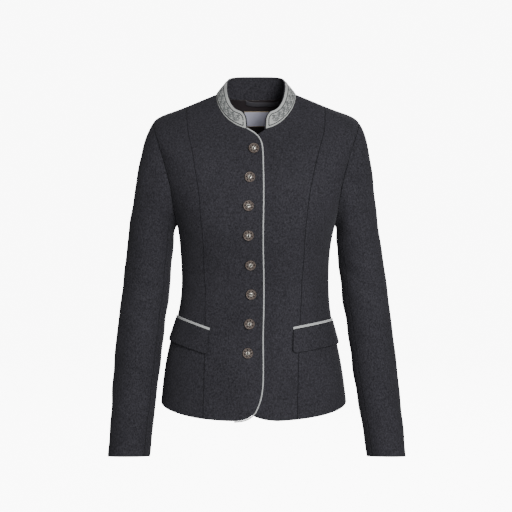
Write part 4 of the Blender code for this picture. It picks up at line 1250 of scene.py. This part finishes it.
class BLAZER_OT_collar(bpy.types.Operator):
    """Lay the stand collar's outer felt and inner wool, and stitch round the felt"""

    bl_idname = "blazer.collar"
    bl_label = "Stand Collar"

    def execute(self, context):
        kit, felt = kit_of(context), felt_of(context)
        outer = collar_walls(0.0, COLLAR_CLOTH, 0.0007)
        made = cloth_wall("collar_outer_felt", *outer, (felt,))
        declare(made, "collar_outer", outer=outer[0])
        inner = collar_walls(COLLAR_CLOTH + SEAM_GAP / 3, COLLAR_CLOTH, 0.0006, 0.0024, 0.0012, 0.0012)
        made = cloth_wall("collar_inner_cloth", *inner, (kit.wool,))
        declare(made, "collar_inner", outer=inner[0])

        inset = context.scene.blazer_trim.stitch_inset
        low = 0.0042
        length = LAST_STATION * collar_step()
        path = self.loop(length, inset, low)
        points, facing = on_collar(path[:, 0], path[:, 1], 0.0002)
        strands = Strands()
        strands.stitches(points, facing, 0.0036, 0.0001, 0.00100, 0.00045)
        colour = context.scene.blazer_trim.stitch_colour
        made = strands.build("collar_stitching", thread("stitching_thread", colour))
        declare(made)
        return {"FINISHED"}

    def loop(self, length, inset, low):
        """The stitching's closed line, by the way from the end and the height."""
        radius = COLLAR_CORNER - inset
        start = np.linspace(inset, COLLAR_CORNER, 24)[:-1]
        middle = np.linspace(COLLAR_CORNER, length - COLLAR_CORNER, 400)
        across = np.concatenate([start, middle, (length - start)[::-1]])
        full = collar_height(across / collar_step())
        from_end = np.minimum(across, length - across)
        left = np.clip(COLLAR_CORNER - from_end, 0, radius)
        height = full - COLLAR_CORNER + np.where(
            from_end < COLLAR_CORNER, np.sqrt(radius**2 - left**2), radius)
        top = np.stack([across, height], axis=-1)
        down = np.linspace(height[-1], low, 12)[1:-1]
        right_end = np.stack([np.full_like(down, across[-1]), down], axis=-1)
        bottom = np.linspace(across[-1], across[0], 400)
        foot = np.stack([bottom, np.full_like(bottom, low)], axis=-1)
        left_end = np.stack([np.full_like(down, across[0]), down[::-1]], axis=-1)
        return np.concatenate([top, right_end, foot, left_end])


class BLAZER_OT_embroidery(bpy.types.Operator):
    """Embroider a running vine along the collar, tone on tone"""

    bl_idname = "blazer.embroidery"
    bl_label = "Collar Embroidery"

    def execute(self, context):
        pitch, strokes = vine_strokes()
        step = collar_step()
        half = LAST_STATION / 2 * step
        strands = Strands()
        first = 0.0125
        for end in (RIGHT, LEFT):
            for repeat in range(int((half - first) / pitch)):
                for line, half_width in strokes:
                    from_end = first + repeat * pitch + line[:, 0]
                    full = collar_height(from_end / step)
                    room = np.minimum(full / 0.040, 1.0)
                    height = full * 0.49 + line[:, 1] * room * 1.40
                    points, facing = on_collar(from_end, height, 0.00012, end)
                    strands.add(points, facing, half_width, 0.00030)
        colour = context.scene.blazer_trim.thread_colour
        made = strands.build("collar_vine", thread("embroidery_thread", colour))
        declare(made)
        return {"FINISHED"}


class BLAZER_OT_neck(bpy.types.Operator):
    """Lay the lining that shows inside the neck, the hanger loop and the bare label"""

    bl_idname = "blazer.neck"
    bl_label = "Neck Lining, Loop and Label"

    def execute(self, context):
        kit = kit_of(context)
        lift = -CLOTH - SEAM_GAP
        rows = panel_rows(ROW_LINING, 60)
        for side, word in SIDES.items():
            spots, _ = panel_grid(centre_back(side, rows), back_seam(side, rows), 16)
            angle, level = spots[..., 0], spots[..., 1]
            walls = [body(angle, level, lift - depth) for depth in (0.0, LINING_CLOTH)]
            made = cloth_wall(f"neck_lining_{word}_cloth", *walls, (kit.lining,))
            declare(made, f"neck_lining_{word}", outer=walls[0])

        tape_lift = lift - LINING_CLOTH - TAPE_GAP
        x = np.linspace(-1, 1, 41)
        z = np.linspace(LABEL_LOW_Z, LABEL_TOP_Z, 25)
        across = LABEL_X + LABEL_HALF_WIDTH * x
        places = spot(*np.meshgrid(across, z, indexing="ij"), True)
        walls = [body(places[..., 0], places[..., 1], tape_lift - d) for d in (0.0, TAPE)]
        height = along(np.moveaxis(walls[0], 1, 0))[-1].min()
        made = cloth_wall("label_ribbon", *walls, (label_material(height),))
        declare(made, "label", outer=walls[0])

        share = np.linspace(-1, 1, 49)
        hang = 1 - share**LOOP_SQUARE
        top_z = LOOP_TOP_Z - LOOP_SAG * hang
        heights = top_z[:, None] + np.linspace(-LOOP_HEIGHT, 0, 9)
        across = np.broadcast_to((LOOP_X + LOOP_HALF_WIDTH * share)[:, None], heights.shape)
        places = spot(across, heights, True)
        stand = (tape_lift - LOOP_STAND_OFF * hang)[:, None]
        walls = [body(places[..., 0], places[..., 1], stand - d) for d in (0.0, TAPE)]
        satin = smooth_cloth_material("loop_satin", (0.026, 0.025, 0.030), (0.062, 0.060, 0.070), 0.42)
        made = cloth_wall("hanger_loop_tape", *walls, (satin,))
        declare(made, "hanger_loop", outer=walls[0])
        return {"FINISHED"}


def label_material(height):
    """A bare woven label: pale ground, a fine rib and a narrow tan border."""
    paint = Paint("bare_label", Specular_IOR_Level=0.4)
    vector = paint.node("TexCoord", None, None, "UV")
    split = paint.tree.nodes.new("ShaderNodeSeparateXYZ")
    paint.feed(split.inputs[0], vector)
    u, v = Value(paint, split.outputs[0]), Value(paint, split.outputs[1])
    ribs = paint.node("TexWave", {"bands_direction": "Y"}, {"Vector": vector, "Scale": 420.0})
    slubs = paint.noise(vector, 700, 2.0, 0.6)
    ground = paint.mix(slubs * 0.6 + ribs * 0.3, (0.42, 0.42, 0.53), (0.56, 0.56, 0.68))
    reach = u.math("ABSOLUTE", u)
    ends = (v > height - LABEL_BORDER) + (v < LABEL_BORDER)
    border = (reach > LABEL_HALF_WIDTH - LABEL_BORDER) + ends
    colour = paint.mix(border.math("MINIMUM", border, 1.0), ground, (0.36, 0.29, 0.20))
    return paint.finish(Base_Color=colour, Roughness=0.55 + slubs * 0.2,
                        Normal=paint.bump(ribs, 0.0002, 0.4))


class BLAZER_OT_piping(bpy.types.Operator):
    """Run the corded piping down the top front's edge"""

    bl_idname = "blazer.piping"
    bl_label = "Front Piping"

    def execute(self, context):
        rows = np.linspace(0, ROW_COLLAR, ROW_COLLAR * 9 + 1)
        spots = front_edge(RIGHT, rows - 1e-9)
        angle, level = spots[:, 0], spots[:, 1]
        points, facing = body(angle, level), outward(angle, level)
        run = unit(np.gradient(points, axis=0))
        away = unit(np.cross(run, facing))
        middle = points + away * (PIPING_RADIUS + SEAM_GAP / 2) - facing * PIPING_DEPTH
        middle[-1] -= run[-1] * SEAM_GAP
        strands = Strands()
        strands.add(middle, facing, PIPING_RADIUS, PIPING_RADIUS, 14)
        made = strands.build("front_piping_cord", piping_felt())
        declare(made, "front_piping")
        return {"FINISHED"}


def pocket_edge(side, pocket, share):
    """The angle and the height of a pocket's upper edge, at a share of the way out."""
    start = spot(POCKET_MIDDLE_X + side * POCKET_IN, pocket.in_z)[0]
    angle = start + (side * POCKET_OUT_ANGLE - start) * share
    near, here, far = (np.radians(np.abs(a)) for a in (start, angle, POCKET_OUT_ANGLE))
    across = (np.sin(here) - np.sin(near)) / (np.sin(far) - np.sin(near))
    bow = np.cos(here) - np.cos(near) - (np.cos(far) - np.cos(near)) * across
    return angle, pocket.in_z + (pocket.out_z - pocket.in_z) * across + POCKET_RISE * bow


class BLAZER_OT_pockets(bpy.types.Operator):
    """Lay both pockets' welts and flaps"""

    bl_idname = "blazer.pockets"
    bl_label = "Flap Pockets"

    def execute(self, context):
        kit = kit_of(context)
        piping = piping_felt()
        for (side, word), pocket in zip(SIDES.items(), POCKETS):
            fine = np.linspace(0, 1, 400)
            angle, z = pocket_edge(side, pocket, fine)
            width = along(body(angle, level_at(angle, z)))
            stops = shaped(0.0, width[-1], 40)
            shares = np.interp(stops, width, fine)[:, None]
            from_end = np.minimum(stops, width[-1] - stops)[:, None]

            rows = shaped(0.0, WELT_HEIGHT, 3)
            angle, z = pocket_edge(side, pocket, shares + 0 * rows)
            level = level_at(angle, z - WELT_HEIGHT + rows)
            way = np.minimum(np.minimum(rows, WELT_HEIGHT - rows), from_end)
            drop = round_drop(way, 0.00085)
            base = REST_GAP + WELT_CLOTH
            walls = body(angle, level, base - drop), body(angle, level, base - WELT_CLOTH + drop)
            made = cloth_wall(f"pocket_welt_{word}_felt", *walls, (piping,))
            declare(made, f"pocket_welt_{word}", outer=walls[0])

            height = FLAP_HEIGHT - round_drop(from_end, FLAP_CORNER)
            ups = np.array([shaped(0.0, total, 24) for total in height[:, 0]])
            lowered = 1 - ups / height
            slant = FLAP_SLANT / width[-1] * lowered * (1 - shares)
            angle, top_z = pocket_edge(side, pocket, shares + slant)
            level = level_at(angle, top_z - WELT_HEIGHT - SEAM_GAP - height * lowered)
            way = np.minimum(np.minimum(ups, height - ups), from_end)
            drop = round_drop(way, 0.0009)
            base = REST_GAP + FLAP_CLOTH + FLAP_LIFT * lowered
            walls = body(angle, level, base - drop), body(angle, level, base - FLAP_CLOTH + drop)
            # Painted shade and shadow: the flap's wool darkens all round its edges, standing in for
            # the shade under and around the flap.
            painted_shade = painted_shade_at(way, FLAP_SHADE_REACH)
            made = cloth_wall(
                f"pocket_flap_{word}_cloth", *walls, (kit.wool, kit.lining), painted_shade)
            declare(made, f"pocket_flap_{word}", outer=walls[0])
        return {"FINISHED"}


class BLAZER_OT_buttons(bpy.types.Operator):
    """Set the eight carved buttons and their buttonholes"""

    bl_idname = "blazer.buttons"
    bl_label = "Buttons and Buttonholes"

    def execute(self, context):
        trim = context.scene.blazer_trim
        light = tuple(trim.horn_colour)
        horn = horn_material("carved_horn", tuple(0.40 * c for c in light), light,
                             tuple(trim.dome_colour))
        pattern = turned_button("button_pattern")
        strands = Strands()
        turns = (30, 35, -15, 50, 15, -25, 40, 60)
        for number, (button, turn) in enumerate(zip(BUTTONS, turns), start=1):
            made = pattern.copy()
            made.data = pattern.data.copy()
            made.name = made.data.name = f"button_{number}_horn"
            context.scene.collection.objects.link(made)
            angle, level = spot(button.x, button.z)
            place, facing = Vector(body(angle, level, button.lift)), Vector(outward(angle, level))
            lie = facing.to_track_quat("Z", "Y").to_matrix().to_4x4()
            spin = Matrix.Rotation(math.radians(turn), 4, "Z")
            made.data.transform(Matrix.Translation(place) @ lie @ spin)
            made.data.materials.append(horn)
            declare(made, f"button_{number}")
            self.buttonhole(strands, button)
        bpy.data.objects.remove(pattern)
        made = strands.build("buttonholes", thread("dark_thread", (0.016, 0.016, 0.018)))
        declare(made)
        return {"FINISHED"}

    def buttonhole(self, strands, button):
        """Close dark stitches round a slit that reaches past the button to the front edge."""
        x = np.linspace(button.x - 0.0105, button.x + 0.0118, 25)
        spots = spot(x, np.full_like(x, button.z))
        for shift in (-0.0006, 0.0006):
            facing = outward(spots[:, 0], spots[:, 1])
            points = body(spots[:, 0], spots[:, 1], 0.0002) + (0.0, 0.0, shift)
            strands.add(points, facing, 0.0006, 0.0004)


class BLAZER_OT_studio(bpy.types.Operator):
    """Set up the pale floor, the soft lights and the camera"""

    bl_idname = "blazer.studio"
    bl_label = "Studio"

    def execute(self, context):
        studio = context.scene.blazer_studio
        bpy.ops.object.select_all(action="DESELECT")
        bpy.ops.mesh.primitive_circle_add(
            vertices=96, radius=40.0, fill_type="NGON", location=(0, 0, studio.floor_height))
        floor = context.object
        floor.name = "studio_floor"
        bpy.ops.object.transform_apply(location=True, rotation=True, scale=True)
        bpy.ops.mesh.primitive_uv_sphere_add(segments=64, ring_count=32, radius=60.0)
        surround = context.object
        surround.name = "studio_surround"
        paper = Paint("white_paper", Base_Color=(0.9, 0.9, 0.9, 1.0), Roughness=1.0,
                      Specular_IOR_Level=0.0, Emission_Color=(1.0, 1.0, 1.0, 1.0),
                      Emission_Strength=studio.paper_glow).material
        for backdrop in (floor, surround):
            backdrop.data.materials.append(paper)
            # The paper is white to the camera only, and lights nothing.
            backdrop.visible_diffuse = backdrop.visible_glossy = False
            backdrop.visible_transmission = backdrop.visible_shadow = False

        world = bpy.data.worlds.new("soft_surround")
        world.use_nodes = True
        background = world.node_tree.nodes["Background"]
        background.inputs["Color"].default_value = (1.0, 1.0, 1.0, 1.0)
        background.inputs["Strength"].default_value = studio.surround
        context.scene.world = world

        middle = Vector((0.0, 0.0, studio.look_height))
        lights = (
            ("key_light", (1.0, -2.6, 0.75), 1.0, studio.key_power),
            ("fill_light", (0.1, -2.6, -0.6), 1.4, studio.fill_power),
            ("back_light", (0.4, 2.6, 0.9), 1.4, studio.back_power),
        )
        for name, place, size, energy in lights:
            bpy.ops.object.light_add(type="AREA", location=place)
            light = context.object
            light.name = name
            light.data.size = size
            light.data.energy = energy
            light.rotation_euler = (middle - Vector(place)).to_track_quat("-Z", "Y").to_euler()

        back = Vector((0.0, -math.cos(studio.elevation), math.sin(studio.elevation)))
        place = middle + back * studio.distance
        bpy.ops.object.camera_add(location=place)
        camera = context.object
        camera.rotation_euler = (-back).to_track_quat("-Z", "Y").to_euler()
        camera.data.sensor_width = 36.0
        camera.data.lens = 36.0 / studio.view_width * studio.distance
        context.scene.camera = camera
        return {"FINISHED"}


class BLAZER_PT_panel(bpy.types.Panel):
    """The blazer's tools in the sidebar"""

    bl_label = "Folk-Dress Blazer"
    bl_idname = "BLAZER_PT_panel"
    bl_space_type = "VIEW_3D"
    bl_region_type = "UI"
    bl_category = "Blazer"

    def draw(self, context):
        for group in (context.scene.blazer_cloth, context.scene.blazer_trim,
                      context.scene.blazer_studio):
            box = self.layout.box()
            for name in group.__annotations__:
                box.prop(group, name)
        for operator in OPERATORS:
            self.layout.operator(operator.bl_idname)


GROUPS = {"blazer_cloth": BlazerCloth, "blazer_trim": BlazerTrim, "blazer_studio": BlazerStudio}
OPERATORS = (
    BLAZER_OT_studio, BLAZER_OT_body, BLAZER_OT_sleeves, BLAZER_OT_collar, BLAZER_OT_embroidery,
    BLAZER_OT_neck, BLAZER_OT_piping, BLAZER_OT_pockets, BLAZER_OT_buttons,
)


def register():
    for made in (*GROUPS.values(), *OPERATORS, BLAZER_PT_panel):
        bpy.utils.register_class(made)
    for name, group in GROUPS.items():
        setattr(bpy.types.Scene, name, bpy.props.PointerProperty(type=group))


def unregister():
    for name in GROUPS:
        delattr(bpy.types.Scene, name)
    for made in reversed((*GROUPS.values(), *OPERATORS, BLAZER_PT_panel)):
        bpy.utils.unregister_class(made)


def main():
    register()
    bpy.ops.object.select_all(action="DESELECT")
    bpy.ops.blazer.studio()
    bpy.ops.blazer.body()
    bpy.ops.blazer.sleeves()
    bpy.ops.blazer.collar()
    bpy.ops.blazer.embroidery()
    bpy.ops.blazer.neck()
    bpy.ops.blazer.piping()
    bpy.ops.blazer.pockets()
    bpy.ops.blazer.buttons()


if __name__ == "__main__":
    main()
